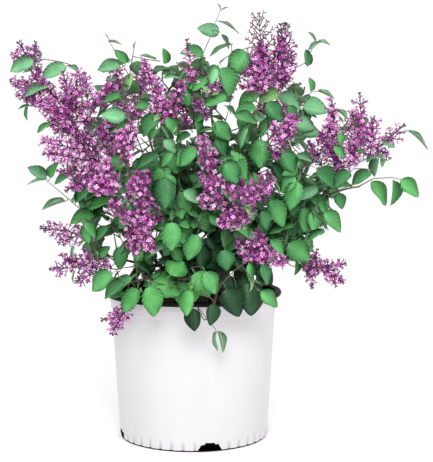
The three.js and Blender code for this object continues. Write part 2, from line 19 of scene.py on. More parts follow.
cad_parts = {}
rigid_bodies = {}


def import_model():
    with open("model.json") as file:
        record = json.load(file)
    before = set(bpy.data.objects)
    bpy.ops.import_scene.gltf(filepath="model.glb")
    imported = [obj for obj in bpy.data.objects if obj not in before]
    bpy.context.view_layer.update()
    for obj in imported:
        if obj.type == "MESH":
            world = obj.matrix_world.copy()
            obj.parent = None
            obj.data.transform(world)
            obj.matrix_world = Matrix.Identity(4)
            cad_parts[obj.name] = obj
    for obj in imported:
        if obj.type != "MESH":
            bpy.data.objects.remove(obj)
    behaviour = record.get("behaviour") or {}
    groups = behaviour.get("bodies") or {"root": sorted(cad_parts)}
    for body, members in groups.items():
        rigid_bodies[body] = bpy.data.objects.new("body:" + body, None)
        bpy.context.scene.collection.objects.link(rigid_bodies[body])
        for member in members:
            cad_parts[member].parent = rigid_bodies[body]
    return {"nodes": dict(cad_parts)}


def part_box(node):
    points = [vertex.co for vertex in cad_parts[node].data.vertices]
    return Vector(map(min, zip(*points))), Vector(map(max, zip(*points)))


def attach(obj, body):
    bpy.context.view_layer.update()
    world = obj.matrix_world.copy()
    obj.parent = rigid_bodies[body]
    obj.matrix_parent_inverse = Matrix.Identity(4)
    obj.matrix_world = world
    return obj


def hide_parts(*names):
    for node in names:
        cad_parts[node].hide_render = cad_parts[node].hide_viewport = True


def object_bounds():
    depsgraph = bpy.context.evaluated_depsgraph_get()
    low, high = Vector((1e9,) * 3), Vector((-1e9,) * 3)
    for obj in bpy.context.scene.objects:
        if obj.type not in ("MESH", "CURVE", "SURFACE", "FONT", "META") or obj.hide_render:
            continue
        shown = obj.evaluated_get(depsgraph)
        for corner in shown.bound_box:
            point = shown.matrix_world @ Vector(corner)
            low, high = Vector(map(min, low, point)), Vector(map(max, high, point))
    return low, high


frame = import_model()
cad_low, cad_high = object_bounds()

bl_info = {
    "name": "Lilac in its pot",
    "version": (1, 0, 0),
    "blender": (4, 5, 0),
    "location": "3D View > Sidebar > Lilac",
    "description": "Builds a flowering lilac shrub in a white nursery pot",
    "category": "Object",
}

POT_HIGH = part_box("pot")[1]
MIX_LOW, MIX_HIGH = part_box("potting_mix")
CROWN_LOW, CROWN_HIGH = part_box("root_crown")
NODES = sorted(frame["nodes"])
MASSES = [node for node in NODES if node.startswith("mass_")]
LIMB_NODES = [node for node in NODES if node.startswith(("cane_", "bough_"))]

# ---- the plant's plan

# A limb and the mass that it carries. root is the slope at which a cane leaves the root crown, in degrees,
# or the share of its parent's length at which a bough forks off. heading is the angle round the pot's axis,
# out and height place the middle of the mass's space, reach is its radius, and rise the angle at which it
# grows. blooms is how many panicles it may carry, and leafy the share of its places that bear a leaf.
Row = namedtuple("Row", "name parent root heading out height reach rise blooms seed leafy")
ROWS = [Row(*row) for row in [
    ("far_left",None,36,184,.256,.582,.056,48,3,11,.12),
    ("left_bloom","far_left",.5,195,.176,.516,.085,42,7,23,.12),
    ("left_side","far_left",.32,185,.186,.404,.078,28,5,31,.3),
    ("low_left","far_left",.14,192,.188,.304,.06,14,3,41,.15),
    ("front_low",None,14,262,.177,.262,.061,-10,0,199,.1),
    ("front_left","front_low",.3,226,.165,.252,.056,-10,1,53,.1),
    ("centre_left",None,40,240,.162,.387,.081,55,5,61,.35),
    ("top_left",None,66,165,.115,.573,.077,66,2,71,.15),
    ("top_middle","top_left",.55,230,.058,.549,.074,66,3,73,.3),
    ("top_right",None,66,347,.133,.597,.069,68,4,83,.15),
    ("top_shoot","top_right",.5,49,.053,.632,.058,80,0,97,.04),
    ("centre_top","top_right",.4,311,.08,.503,.076,62,1,101,.4),
    ("far_right",None,38,4,.326,.478,.043,24,1,113,.05),
    ("right_bloom","far_right",.6,355,.235,.479,.081,40,6,127,.15),
    ("right_side","far_right",.5,352,.302,.404,.051,6,0,131,.03),
    ("upper_right","top_right",.62,16,.181,.534,.067,50,0,149,.2),
    ("middle_right",None,42,336,.174,.422,.085,34,2,151,.55),
    ("low_right","middle_right",.3,345,.198,.294,.059,8,2,163,.25),
    ("centre_bloom",None,38,293,.163,.407,.081,50,4,173,.6),
    ("front_right","centre_bloom",.3,304,.169,.288,.072,10,2,191,.35),
    ("hanging","front_right",.6,282,.184,.204,.033,-50,0,205,0),
    ("front_middle","centre_left",.36,262,.116,.34,.08,40,0,211,.9),
    ("back_left",None,44,128,.178,.5,.104,54,2,223,.45),
    ("back_left_low","back_left",.3,140,.194,.342,.09,14,1,227,.8),
    ("back_top",None,62,85,.118,.56,.086,66,2,233,.35),
    ("back_middle","back_top",.34,90,.196,.402,.092,26,2,241,.8),
    ("back_right",None,40,47,.203,.478,.092,48,2,251,.45),
    ("back_right_low","back_right",.3,41,.206,.318,.09,10,1,257,.8),
]]

# The front of the plant, thing by thing, in millimetres and degrees. across (to the right of the axis) and up
# (above the floor) say where the lower end of a panicle or blade is seen from in front, on the upright plane
# through the axis, and lean the way that it points there, clockwise from straight up. Each thing sits on a
# twig of the mass that it names, as far forward as that mass reaches.
MM = 0.001


def planned(kind, places):
    """Things of one kind, from their places listed by mass."""
    return [kind(mass, *place) for mass, listed in places.items() for place in listed]


# A panicle: girth is its half breadth over its length, and full how close its florets stand.
Bloom = namedtuple("Bloom", "mass across up lean length girth full", defaults=[1.0])
BLOOMS = planned(Bloom, {
    "far_left": [(-258,597,-28,28,.5,.8), (-250,592,8,30,.4,.7), (-253,591,-66,32,.42,.8),
     (-231,546,-22,58,.28), (-245,550,-72,42,.42,.9), (-239,543,-95,32,.45,.9), (-209,520,-73,60,.22),
     (-212,533,-38,40,.3)],
    "left_bloom": [(-190,515,-12,61,.24), (-165,518,-5,56,.23), (-162,520,46,50,.28), (-185,487,-53,65,.27),
     (-166,471,-65,66,.26), (-176,455,-76,65,.22), (-169,440,-81,62,.2), (-160,493,-45,67,.26),
     (-185,533,8,45,.35), (-193,506,-60,55,.25), (-149,449,-30,40,.35)],
    "left_side": [(-150,432,-37,57,.3), (-128,442,-22,51,.28), (-153,421,-87,60,.21), (-153,411,-110,47,.24),
     (-139,432,-60,50,.3), (-126,463,-10,45,.33)],
    "centre_left": [(-103,432,-14,52,.25), (-113,405,-98,45,.42), (-132,392,-6,43,.37), (-107,383,45,51,.37),
     (-88,395,136,44,.32), (-91,341,-52,44,.36), (-104,335,75,54,.24), (-100,341,167,44,.36),
     (-85,329,143,34,.32), (-104,454,10,40,.3), (-145,385,-20,45,.4), (-95,370,20,45,.4),
     (-75,325,-10,46,.33)],
    "low_left": [(-196,326,-80,45,.34,.75), (-178,322,-112,36,.42,.9), (-160,318,-55,32,.42,.9),
     (-191,269,-92,36,.38,.7), (-187,275,-58,28,.24,.7), (-152,266,-72,46,.4,.9), (-151,262,-112,38,.36,.85),
     (-165,276,-18,20,.5,.9), (-130,268,-50,24,.4,.9)],
    "front_left": [(-105,210,-152,50,.34,.85), (-119,189,-100,24,.3,.6)],
    "top_left": [(-146,521,20,35,.35)],
    "top_middle": [(-65,556,-15,43,.3), (-49,546,-32,30,.27,.8), (-33,505,-33,53,.3), (-33,515,18,46,.28),
     (-83,505,-57,41,.27), (-10,491,-13,36,.25,.9), (-5,593,-8,32,.22,.6), (3,564,-30,30,.24,.7),
     (-49,499,-5,50,.3), (-30,499,-60,40,.35)],
    "centre_top": [(24,505,-34,42,.26,.8), (26,539,20,27,.25,.8)],
    "top_right": [(111,546,-4,122,.3,.55), (111,548,-6,72,.32), (108,549,-24,55,.3), (137,552,4,100,.26,.75),
     (133,546,20,66,.22,.9), (117,552,-86,41,.3), (142,602,-6,48,.36,.7)],
    "middle_right": [(136,469,32,45,.38), (152,440,-64,37,.25,.9), (147,473,10,34,.32), (139,459,-20,38,.34)],
    "right_bloom": [(203,430,-28,43,.26), (225,440,-6,95,.15,.9), (231,421,-27,71,.24), (247,430,2,85,.2),
     (264,510,-4,32,.46,.6), (279,445,1,62,.26), (231,427,60,31,.35), (228,440,-162,25,.38),
     (209,459,10,50,.3), (224,444,-10,50,.3), (249,440,20,50,.3), (269,459,-10,50,.3)],
    "far_right": [(300,466,46,44,.4,.6), (288,460,130,27,.34,.8)],
    "centre_bloom": [(31,421,-17,50,.32), (36,392,-47,37,.34), (45,370,-79,32,.45,.9), (71,376,-40,39,.29),
     (77,370,45,58,.3), (93,376,56,34,.4), (99,364,-104,46,.34), (90,376,-32,30,.4), (61,354,-36,27,.3,.9),
     (35,380,-10,35,.4), (90,350,-100,45,.35)],
    "front_right": [(109,278,-7,53,.27), (118,287,-71,49,.35), (109,297,124,37,.34), (109,284,-80,30,.4),
     (110,290,-60,45,.4)],
    "low_right": [(175,270,90,40,.4,.95), (205,268,80,34,.34,.8), (205,265,118,36,.34,.75),
     (190,272,15,24,.3,.7), (185,262,170,24,.35,.7), (213,262,150,26,.3,.7)],
})  # fmt: skip

# The long thin shoots of a mass, by the points that they pass.
SHOOTS = {
    "top_shoot": [[(-5,546), (11,596), (25,627), (33,649), (43,673)],
     [(58,533), (60,565), (61,602), (60,620)]],
    "top_left": [[(-104,541), (-101,573), (-117,599), (-130,624)],
     [(-104,549), (-97,588), (-92,615)]],
    "left_side": [[(-116,316), (-156,341), (-195,376), (-233,408)]],
    "top_right": [[(143,556), (161,584), (175,591), (186,612), (193,624)]],
    "upper_right": [[(165,528), (176,538), (186,546), (197,547)]],
    "far_right": [[(290,458), (307,468), (323,481), (338,485)]],
    "middle_right": [[(156,333), (188,365), (216,389), (247,398)]],
    "right_side": [[(264,399), (284,410), (314,412), (328,408)]],
    "hanging": [[(5,207), (20,188), (36,168)]],
    "low_left": [[(-120,276), (-148,294), (-172,311)], [(-120,265), (-149,270), (-174,278)]],
    "low_right": [[(141,284), (156,271), (169,270)]],
}  # fmt: skip

# A leaf that stands out: edge is how far its blade is turned from being seen face on.
SUNLIT, GREEN, SHADED, DIM, BLUISH, YOUNG = TINTS = "sunlit green shaded dim bluish young".split()
Blade = namedtuple("Blade", "mass across up lean length edge tint", defaults=[GREEN])
BLADES = planned(Blade, {
    "top_shoot": [(41,639,-82,36,-5,BLUISH), (39,656,104,40,68,BLUISH), (44,636,138,26,60,SHADED),
     (61,620,-101,42,62), (16,603,-82,38,25), (43,672,-6,13,80,SHADED), (45,673,55,13,78,SHADED)],
    "top_middle": [(-44,590,-3,24,45,SUNLIT), (-47,568,75,26,55,BLUISH), (23,565,-120,30,25),
     (-42,507,140,34,35), (-50,499,145,30,60,BLUISH), (-55,487,-140,22,40), (4,501,165,24,45,SHADED),
     (-5,481,-115,26,30,SHADED), (-57,510,-140,40,20,SHADED)],
    "top_left": [(-57,596,-70,29,68,BLUISH), (-132,624,88,23,80,BLUISH), (-130,624,-22,17,80,BLUISH),
     (-114,588,-96,38,25,BLUISH), (-106,590,-22,28,40), (-98,596,-97,28,45,BLUISH), (-92,612,7,14,75,YOUNG),
     (-95,573,-160,28,35,YOUNG), (-68,524,-85,24,25)],
    "far_left": [(-250,596,-110,40,30,BLUISH), (-237,601,-42,26,58,BLUISH), (-199,585,-111,42,15,BLUISH),
     (-195,585,113,21,50,BLUISH), (-227,556,-98,42,50,BLUISH), (-256,524,-93,20,60), (-259,525,-165,24,65)],
    "left_bloom": [(-225,496,-118,24,40), (-115,540,-104,28,30), (-107,506,-75,36,20,BLUISH),
     (-104,496,-107,32,50,SUNLIT)],
    "left_side": [(-232,411,-55,34,25,BLUISH), (-226,411,15,30,35), (-191,416,-110,32,40),
     (-234,408,-90,30,78,BLUISH), (-202,374,-102,40,68,BLUISH), (-160,405,-137,42,30),
     (-129,376,-108,40,35,SUNLIT), (-156,352,-105,42,35)],
    "low_left": [(-172,341,137,30,30), (-135,332,-133,28,35), (-167,337,-168,30,30),
     (-189,303,-159,22,60,BLUISH), (-188,263,-155,22,72,BLUISH), (-152,284,40,26,25),
     (-113,302,-175,36,10,SHADED), (-90,300,170,24,30,SHADED), (-80,290,-150,24,30),
     (-88,276,120,24,40,SHADED)],
    "front_left": [(-130,259,-120,40,20), (-98,253,-125,40,40), (-109,243,-123,38,45,SHADED),
     (-90,235,-152,42,10,SUNLIT), (-84,305,-160,26,30)],
    "front_low": [(-70,239,166,46,10,SUNLIT), (-67,245,108,46,15,SUNLIT), (2,260,145,42,5,SUNLIT),
     (-5,232,-163,38,35,SUNLIT), (0,203,-175,34,15,DIM), (31,210,180,32,20,DIM), (19,262,150,36,30)],
    "front_right": [(52,235,152,46,15,DIM), (90,245,174,50,20,DIM), (68,239,168,40,25,DIM),
     (107,230,125,34,35), (109,275,155,34,45,SHADED), (50,297,175,32,0,SHADED), (60,338,120,34,40),
     (90,278,172,32,55)],
    "front_middle": [(-34,341,180,44,10), (6,321,-160,42,10), (-15,391,120,30,30,BLUISH),
     (26,352,130,24,30,SHADED), (-10,360,110,26,50)],
    "centre_top": [(108,471,-172,44,10), (24,562,-100,32,20), (52,540,-105,38,40), (124,502,-125,34,45),
     (34,499,145,36,10), (71,505,150,42,40), (36,583,-155,26,35,BLUISH), (31,487,-95,24,60,SHADED),
     (85,490,-155,34,50,BLUISH), (38,474,150,32,30,SHADED), (117,530,140,34,20,SHADED),
     (137,519,-150,36,25,SHADED), (99,520,-100,34,30), (66,511,100,36,40), (52,523,120,20,40,SHADED),
     (149,525,150,30,30,SHADED)],
    "centre_bloom": [(5,458,-135,36,20), (66,442,-95,30,60), (52,435,150,34,5,SHADED)],
    "middle_right": [(122,376,145,46,5), (165,405,-165,46,15), (197,395,-118,34,25,BLUISH),
     (175,364,172,38,15), (190,359,172,34,35), (207,357,132,40,20), (208,327,-100,30,55,SHADED),
     (160,337,-100,46,50), (279,421,-110,34,40,SHADED), (247,421,-125,34,30,SHADED),
     (195,424,130,42,25,SHADED), (228,387,157,26,25,SHADED), (109,359,160,30,20,SHADED),
     (143,452,150,34,15,SHADED), (162,447,110,26,45,BLUISH)],
    "low_right": [(122,313,130,34,30), (150,307,125,44,5), (163,278,180,22,50)],
    "top_right": [(83,609,-140,44,5), (45,584,158,46,25), (39,587,-142,28,20), (102,546,-125,38,15,SUNLIT),
     (135,544,-112,36,20,YOUNG), (180,587,-5,26,30,SHADED), (180,612,50,28,60,BLUISH),
     (191,624,-28,20,60,BLUISH), (196,625,102,20,68,BLUISH)],
    "upper_right": [(133,541,112,44,30,BLUISH), (173,524,98,42,5,BLUISH), (159,499,105,34,10,BLUISH),
     (171,487,100,32,15,BLUISH), (186,547,-4,24,50), (196,547,108,30,72,BLUISH)],
    "far_right": [(297,474,120,26,30,BLUISH), (295,447,-98,26,50,BLUISH), (291,442,-165,30,50,BLUISH),
     (338,485,119,44,70,BLUISH)],
    "right_bloom": [(231,482,170,20,20), (222,461,130,24,30), (260,455,110,16,30), (273,442,75,26,45,BLUISH)],
    "right_side": [(282,406,139,44,42,SUNLIT), (315,408,178,41,52), (328,409,128,39,30,SUNLIT)],
    "hanging": [(36,166,-168,30,74,BLUISH), (38,166,158,33,74,BLUISH)],
    "centre_left": [(-46,471,130,26,30,BLUISH), (-53,447,-110,40,45,SHADED), (-58,433,-105,28,55),
     (-34,455,-140,30,35), (-45,411,-175,46,20,SHADED)],
})  # fmt: skip

# Where the sky shows through the crown: across, up and radius.
OPENINGS = [
    (-158,616,24), (-216,552,9), (-193,552,7), (-157,565,10), (-153,434,8), (-163,468,7), (-95,488,8),
    (-78,467,15), (-66,502,9), (-44,559,7), (-3,474,10), (28,496,10), (57,515,13), (46,519,8), (66,490,6),
    (60,467,6), (79,514,7), (121,471,14), (108,482,8), (124,506,9), (165,453,8), (182,464,7), (190,427,7),
    (112,422,6), (6,424,5), (15,319,6), (126,341,6), (61,254,6), (108,643,22), (140,630,19), (-136,357,8),
    (-143,338,8), (-127,308,13), (-96,284,5), (-106,262,6), (-53,292,5), (-60,318,5), (153,262,16),
]  # fmt: skip

# Where the crown is deep in shade: across, up and radius.
SHADES = [(74, 262, 50), (25, 290, 32), (-10, 285, 30), (-50, 290, 28)]

# The crown's outline, apart from the tips that the plan names: across and up, clockwise from the pot's lip.
OUTLINE = np.array([
    (-128,216), (-168,235), (-162,265), (-188,278), (-192,321), (-176,337), (-187,360), (-199,384), (-194,408),
    (-210,424), (-226,455), (-233,487), (-244,515), (-264,533), (-284,557), (-280,596), (-263,619), (-227,593),
    (-208,593), (-184,577), (-154,568), (-151,586), (-122,596), (-117,612), (-98,609), (-83,596), (-49,609),
    (-36,596), (-20,593), (-2,609), (11,603), (34,593), (45,609), (66,615), (81,627), (89,657), (108,670),
    (128,654), (151,646), (164,627), (172,596), (161,573), (173,550), (202,535), (215,525), (238,525),
    (262,538), (281,521), (302,510), (318,487), (313,455), (303,424), (279,408), (239,392), (217,368),
    (229,337), (198,313), (193,289), (229,285), (237,262), (218,240), (186,240), (166,262), (134,257),
    (137,216), (109,199), (42,189), (11,179), (-13,179), (-21,204), (-70,199), (-93,208),
])  # fmt: skip

CLEARANCE = 0.0003
CROWN_RADIUS = 0.018
CROWN_MIDDLE = np.array([0.0, 0.0, MIX_HIGH.z + 0.016])
CANE_ROOT_RADIUS = 0.0037
BOUGH_ROOT_RADIUS = 0.0026
LIMB_TIP_RADIUS = 0.0018
LIMB_TIP_DRAWN, STEM_TIP_DRAWN = 0.72, 0.6  # the tips' thickness as drawn, of their solids'
CANE_HANDLE = 0.38
BOUGH_HANDLE = 0.36
BOUGH_ANGLE = radians(42)
LIMB_ROOM = 0.0015
POT_ROOM = 0.0025
SPACE_GAP = 0.001  # from a space to the flat between it and the next

STEM_ENTRY, STEM_END, STEM_FLOWERING_END = 0.8, 0.8, 0.22
STEM_LIFT = 14
STEM_TIP_RADIUS = 0.001

TWIG_PAIRS, TWIG_PAIRS_LEAFY = 3, 4
TWIG_ANGLE, TWIG_ANGLE_SPREAD = 52, 16
TWIG_RISE = 0.22
TWIG_ROOT_RADIUS, TWIG_TIP_RADIUS = 0.00125, 0.00075
LINK_RADIUS = 0.001
TWIG_LEAST, TWIG_LEAST_FLOWERING, TWIG_MOST = 0.016, 0.008, 0.084
TWIG_SHARE, TWIG_SHARE_FLOWERING = 0.7, 0.3

PANICLE_LEAST, PANICLE_MOST = 0.046, 0.112
PANICLE_SLACK = 0.010
PANICLE_SLIMNESS = 0.27
PANICLE_FULLNESS = 1.05  # how far its branches reach past the space that leaves leave free

LEAF_SLACK = 0.014
LEAF_STALK, SHORT_STALK = 0.2, 0.05  # of the blade's length
LEAF_TRIES = [(0, 1), (0.7, 0.88), (-0.7, 0.8), (1.5, 0.72)]  # turn about the shoot, share of its size

INNER_MIDDLE = np.array([0.03, 0.0, 0.36])  # the shaded inside of the crown, where spurs grow on the limbs
INNER_REACH = np.array([0.19, 0.16, 0.15])

BLOOMS_FORWARD, BLADES_FORWARD = 0.3, 0.5  # how far in front of its mass's middle, of the mass's reach
DEPTH_SPREAD = 0.3
BESIDE = 16  # millimetres, in the plan, from a shoot to what grows on it
GUIDE_PULL = 0.02  # by so much a planned shoot is taken before a nearer twig
# Shifts that part a leaf from those that it would cross.
DEPTH_TRIES = (0, 0.006, -0.006, 0.012, -0.012, 0.018, -0.018, 0.024, -0.024, 0.03)

VIEWER = np.array([0.0367, -2.071, 0.5324])  # where the front is seen from

UP = np.array([0.0, 0.0, 1.0])
TOWARDS = np.array([0.0, -1.0, 0.0])
TAU = 2 * pi


class Chance:
    """A repeatable stream of numbers from 0 to 1, the same as in the solids."""

    def __init__(self, seed):
        self.state = seed

    def __call__(self):
        self.state = (self.state + 0x6D2B79F5) & 0xFFFFFFFF
        t = self.state
        t = ((t ^ (t >> 15)) * (1 | t)) & 0xFFFFFFFF
        t = ((t + (((t ^ (t >> 7)) * (61 | t)) & 0xFFFFFFFF)) & 0xFFFFFFFF) ^ t
        return (t ^ (t >> 14)) / 4294967296

    def between(self, low, high):
        return low + (high - low) * self()


def unit(v):
    return v / sqrt(float(v @ v))


def lengths(vectors):
    return norm(vectors, axis=-1)


def direction(heading, slope):
    h, s = radians(heading), radians(slope)
    return np.array([cos(s) * cos(h), cos(s) * sin(h), sin(s)])


def sideways(along, angle):
    """A unit vector square to "along", turned round it by angle."""
    level = np.cross(along, UP)
    level = unit(level) if level @ level > 1e-6 else np.array([1.0, 0.0, 0.0])
    return level * cos(angle) + np.cross(along, level) * sin(angle)


def square_to(v, along):
    return unit(v - along * (v @ along))


def turned_about(v, axis, angle):
    return v * cos(angle) + np.cross(axis, v) * sin(angle) + axis * (axis @ v) * (1 - cos(angle))


def seen_at(across, up, depth):
    """The point at a depth along Y that is seen from the front at across and up."""
    way = np.array([across, 0.0, up]) - VIEWER
    return VIEWER + way * (depth - VIEWER[1]) / way[1]


def seen(points):
    """Across and up of points, as they are seen from the front."""
    ways = points - VIEWER
    return (VIEWER - ways * VIEWER[1] / ways[..., 1:2])[..., [0, 2]]


def leaning(lean, forward):
    """A way that is seen to lean by so many degrees from straight up, and comes forward by so much."""
    flat = np.array([sin(radians(lean)), 0.0, cos(radians(lean))])
    return unit(flat + TOWARDS * forward)


def middle_of(row):
    return direction(row.heading, 0) * row.out + UP * row.height


def entry_of(row):
    """Where a mass's stem starts: at the inner side of its space."""
    return middle_of(row) - direction(row.heading, row.rise) * STEM_ENTRY * row.reach


class Rod:
    """A tapering rod on a Bezier curve."""

    def __init__(self, controls, root_radius, tip_radius):
        self.controls = [np.array(c, float) for c in controls]
        self.root_radius, self.tip_radius = root_radius, tip_radius
        points = self.points(40)
        self.length = float(lengths(np.diff(points, axis=0)).sum())
        self.parent, self.parent_share, self.used = None, 0.0, 0.0

    def borne_by(self, parent, share):
        """Says which rod this one grows on, and where."""
        self.parent, self.parent_share = parent, share
        return self

    def carry(self, share=1.0):
        """Something grows here: the rod, and those that bear it, are needed as far as this."""
        self.used = max(self.used, share)
        if self.parent:
            self.parent.carry(self.parent_share)

    def at(self, share):
        points = self.controls
        while len(points) > 1:
            points = [a + (b - a) * share for a, b in zip(points, points[1:])]
        return points[0]

    def along(self, share):
        step = 1e-3
        return unit(self.at(min(share + step, 1)) - self.at(max(share - step, 0)))

    def radius_at(self, share):
        return self.root_radius + (self.tip_radius - self.root_radius) * share

    def points(self, steps):
        return np.array([self.at(i / steps) for i in range(steps + 1)])

    def marks(self, spacing, margin):
        """Balls along it that other things keep out of: middles and radii."""
        count = ceil(self.length / spacing)
        radii = np.array([self.radius_at(i / count) + margin for i in range(count + 1)])
        return self.points(count), radii


def limb_curve(start, start_way, row, handle, radius):
    growth = direction(row.heading, row.rise)
    end = entry_of(row) - growth * CLEARANCE
    hold = norm(start - end) * handle
    return Rod([start, start + start_way * hold, end - growth * hold, end], radius, LIMB_TIP_RADIUS)


def make_cane(row):
    way = direction(row.heading, row.root)
    start = CROWN_MIDDLE + way * (CROWN_RADIUS + CLEARANCE)
    return limb_curve(start, way, row, CANE_HANDLE, CANE_ROOT_RADIUS)


def make_bough(row):
    parent = LIMBS[row.parent]
    fork, along = parent.at(row.root), parent.along(row.root)
    aside = square_to(entry_of(row) - fork, along)
    way = along * cos(BOUGH_ANGLE) + aside * sin(BOUGH_ANGLE)
    start = fork + aside * (parent.radius_at(row.root) + CLEARANCE + BOUGH_ROOT_RADIUS * cos(BOUGH_ANGLE))
    return limb_curve(start, way, row, BOUGH_HANDLE, BOUGH_ROOT_RADIUS)


LIMBS = {}
for limb_row in ROWS:
    LIMBS[limb_row.name] = make_bough(limb_row) if limb_row.parent else make_cane(limb_row)


# ---- spaces and growth


@functools.cache
def limb_marks(spacing, margin):
    """Balls along all the limbs: middles and radii."""
    marks = [limb.marks(spacing, margin) for limb in LIMBS.values()]
    return [np.concatenate(part) for part in zip(*marks)]


def clear_of(points, middles, radii):
    """Whether all the points keep out of all the balls."""
    return not len(middles) or bool((lengths(points[:, None] - middles) >= radii).all())


def clear_of_limbs(points, room):
    middles, radii = limb_marks(0.004, 0)
    return clear_of(points, middles, radii + room)


class Space:
    """A mass's ball, less what lies nearer to its neighbours, to the pot or to a limb."""

    def __init__(self, row):
        self.middle, self.reach = middle_of(row), row.reach
        others = [other for other in ROWS if other is not row and self.near(other)]
        self.others = np.array([middle_of(other) for other in others])
        self.reaches = np.array([other.reach for other in others])
        self.apart = lengths(self.others - self.middle)
        points, radii = limb_marks(0.003, LIMB_ROOM)
        close = lengths(points - self.middle) < self.reach + LEAF_SLACK + 0.008
        self.marks, self.mark_radii = points[close], radii[close]

    def near(self, other):
        return norm(middle_of(other) - self.middle) < other.reach + self.reach + 2 * LEAF_SLACK

    def holds(self, points, slack=0.0):
        """Whether all the points are in the space, or no more than slack outside its ball."""
        from_middle = ((points - self.middle) ** 2).sum(1)
        if (from_middle > (self.reach + slack) ** 2).any() or over_pot(points).any():
            return False
        own = from_middle - self.reach**2
        theirs = ((points[:, None] - self.others) ** 2).sum(2) - self.reaches**2
        return bool((theirs - own[:, None] > 2 * SPACE_GAP * self.apart).all())

    def clear(self, points, radius):
        """Whether round things at all the points keep clear of every limb."""
        return clear_of(points, self.marks, self.mark_radii + radius)

    def room(self, start, way, pace=0.004):
        far = pace
        while self.holds((start + way * far)[None]) and far < 2 * self.reach:
            far += pace
        return far - pace


def over_pot(points):
    """Which points are in the pot, or nearer than POT_ROOM over or beside it."""
    beside = np.hypot(points[:, 0], points[:, 1]) < POT_HIGH.x + POT_ROOM
    return beside & (points[:, 2] < POT_HIGH.z + POT_ROOM)


def spread(share):
    """How far a panicle's branches reach at a share of its length, as a part of its greatest radius."""
    return min(1.0, 0.45 + share * 3) * (1 - 0.5 * share**2)


def girth(share):
    """A panicle's radius at a share of its length, as a part of its greatest radius."""
    return min(1.0, 0.35 + share * 3.2) * (1 - 0.75 * share**1.3)


class Panicle:
    """The place of a panicle: a base, a way and a length. Leaves keep out of the way that it faces."""

    def __init__(self, base, way, length, slimness=PANICLE_SLIMNESS, full=1.0, faces=None):
        self.base, self.way, self.length, self.full = base, way, length, full
        self.radius = length * slimness
        self.faces = unit(base * [1, 1, 0] + UP * 0.05) if faces is None else faces

    def point(self, share, side=0.0, turn=0.0):
        return self.base + self.way * share * self.length + sideways(self.way, turn) * side * self.radius

    def probes(self):
        rings = [self.point(share, girth(share), i * pi / 3) for share in (0.2, 0.5) for i in range(6)]
        return np.array([self.point(1), self.point(0), *rings])

    def marks(self):
        shares = (0.15, 0.35, 0.55, 0.75, 0.92)
        radii = np.array([girth(share) * self.radius for share in shares])
        return np.array([self.point(share) for share in shares]), radii

    def meets(self, other):
        (own, own_radii), (their, their_radii) = self.marks(), other.marks()
        return bool((lengths(own[:, None] - their) < (own_radii[:, None] + their_radii) * 0.9).any())


Leaf = namedtuple("Leaf", "root way facing blade tint stalk", defaults=[None, LEAF_STALK])
# Points over a blade: across in half breadths, along and up in blade lengths.
LEAF_PROBES = np.array([
    (-.9,.2,.06), (-.8,.62,.04), (0,1,-.14), (.8,.62,.04), (.9,.2,.06), (-.45,.35,.02), (.45,.35,.02),
    (-.4,.75,-.05), (.4,.75,-.05), (0,.15,0), (0,.5,-.04), (0,.8,-.1),
])  # fmt: skip
NEAR_LEAVES = 0.06  # leaves whose middles are further apart can't cross
CROSSING = 0.0006  # a blade crosses another that it reaches through by more than this on both sides


class Leaves:
    """All the leaves set so far, and the test that a new one crosses none of them."""

    def __init__(self, limit=6000):
        self.count = 0
        self.middles, self.facings = np.zeros((limit, 3)), np.zeros((limit, 3))
        self.halves, self.probes = np.zeros(limit), np.zeros((limit, len(LEAF_PROBES), 3))
        self.leaves = []

    def place(self, leaf, breadth):
        """The half breadth, the middle and the probes of a leaf."""
        half = leaf.blade * breadth / 2
        base = leaf.root + leaf.way * leaf.blade * leaf.stalk
        left = np.cross(leaf.facing, leaf.way)
        across, along, up = LEAF_PROBES.T[:, :, None]
        probes = base + left * across * half + leaf.way * along * leaf.blade + leaf.facing * up * leaf.blade
        return half, base + leaf.way * leaf.blade * 0.5, probes

    def crosses(self, leaf, half, middle, probes, apart):
        gaps = lengths(self.middles[: self.count] - middle)
        if (gaps < apart).any():
            return True
        for i in np.nonzero(gaps < NEAR_LEAVES)[0]:
            for points, centre, facing, size in (
                (probes, self.middles[i], self.facings[i], self.halves[i]),
                (self.probes[i], middle, leaf.facing, half),
            ):
                away = points - centre
                heights = (away @ facing)[(away**2).sum(1) < (size * 1.1) ** 2]
                if len(heights) and heights.min() < -CROSSING and heights.max() > CROSSING:
                    return True
        return False

    def keep(self, leaf, half, middle, probes):
        i = self.count
        self.middles[i], self.facings[i], self.halves[i], self.probes[i] = middle, leaf.facing, half, probes
        self.leaves.append(leaf)
        self.count += 1


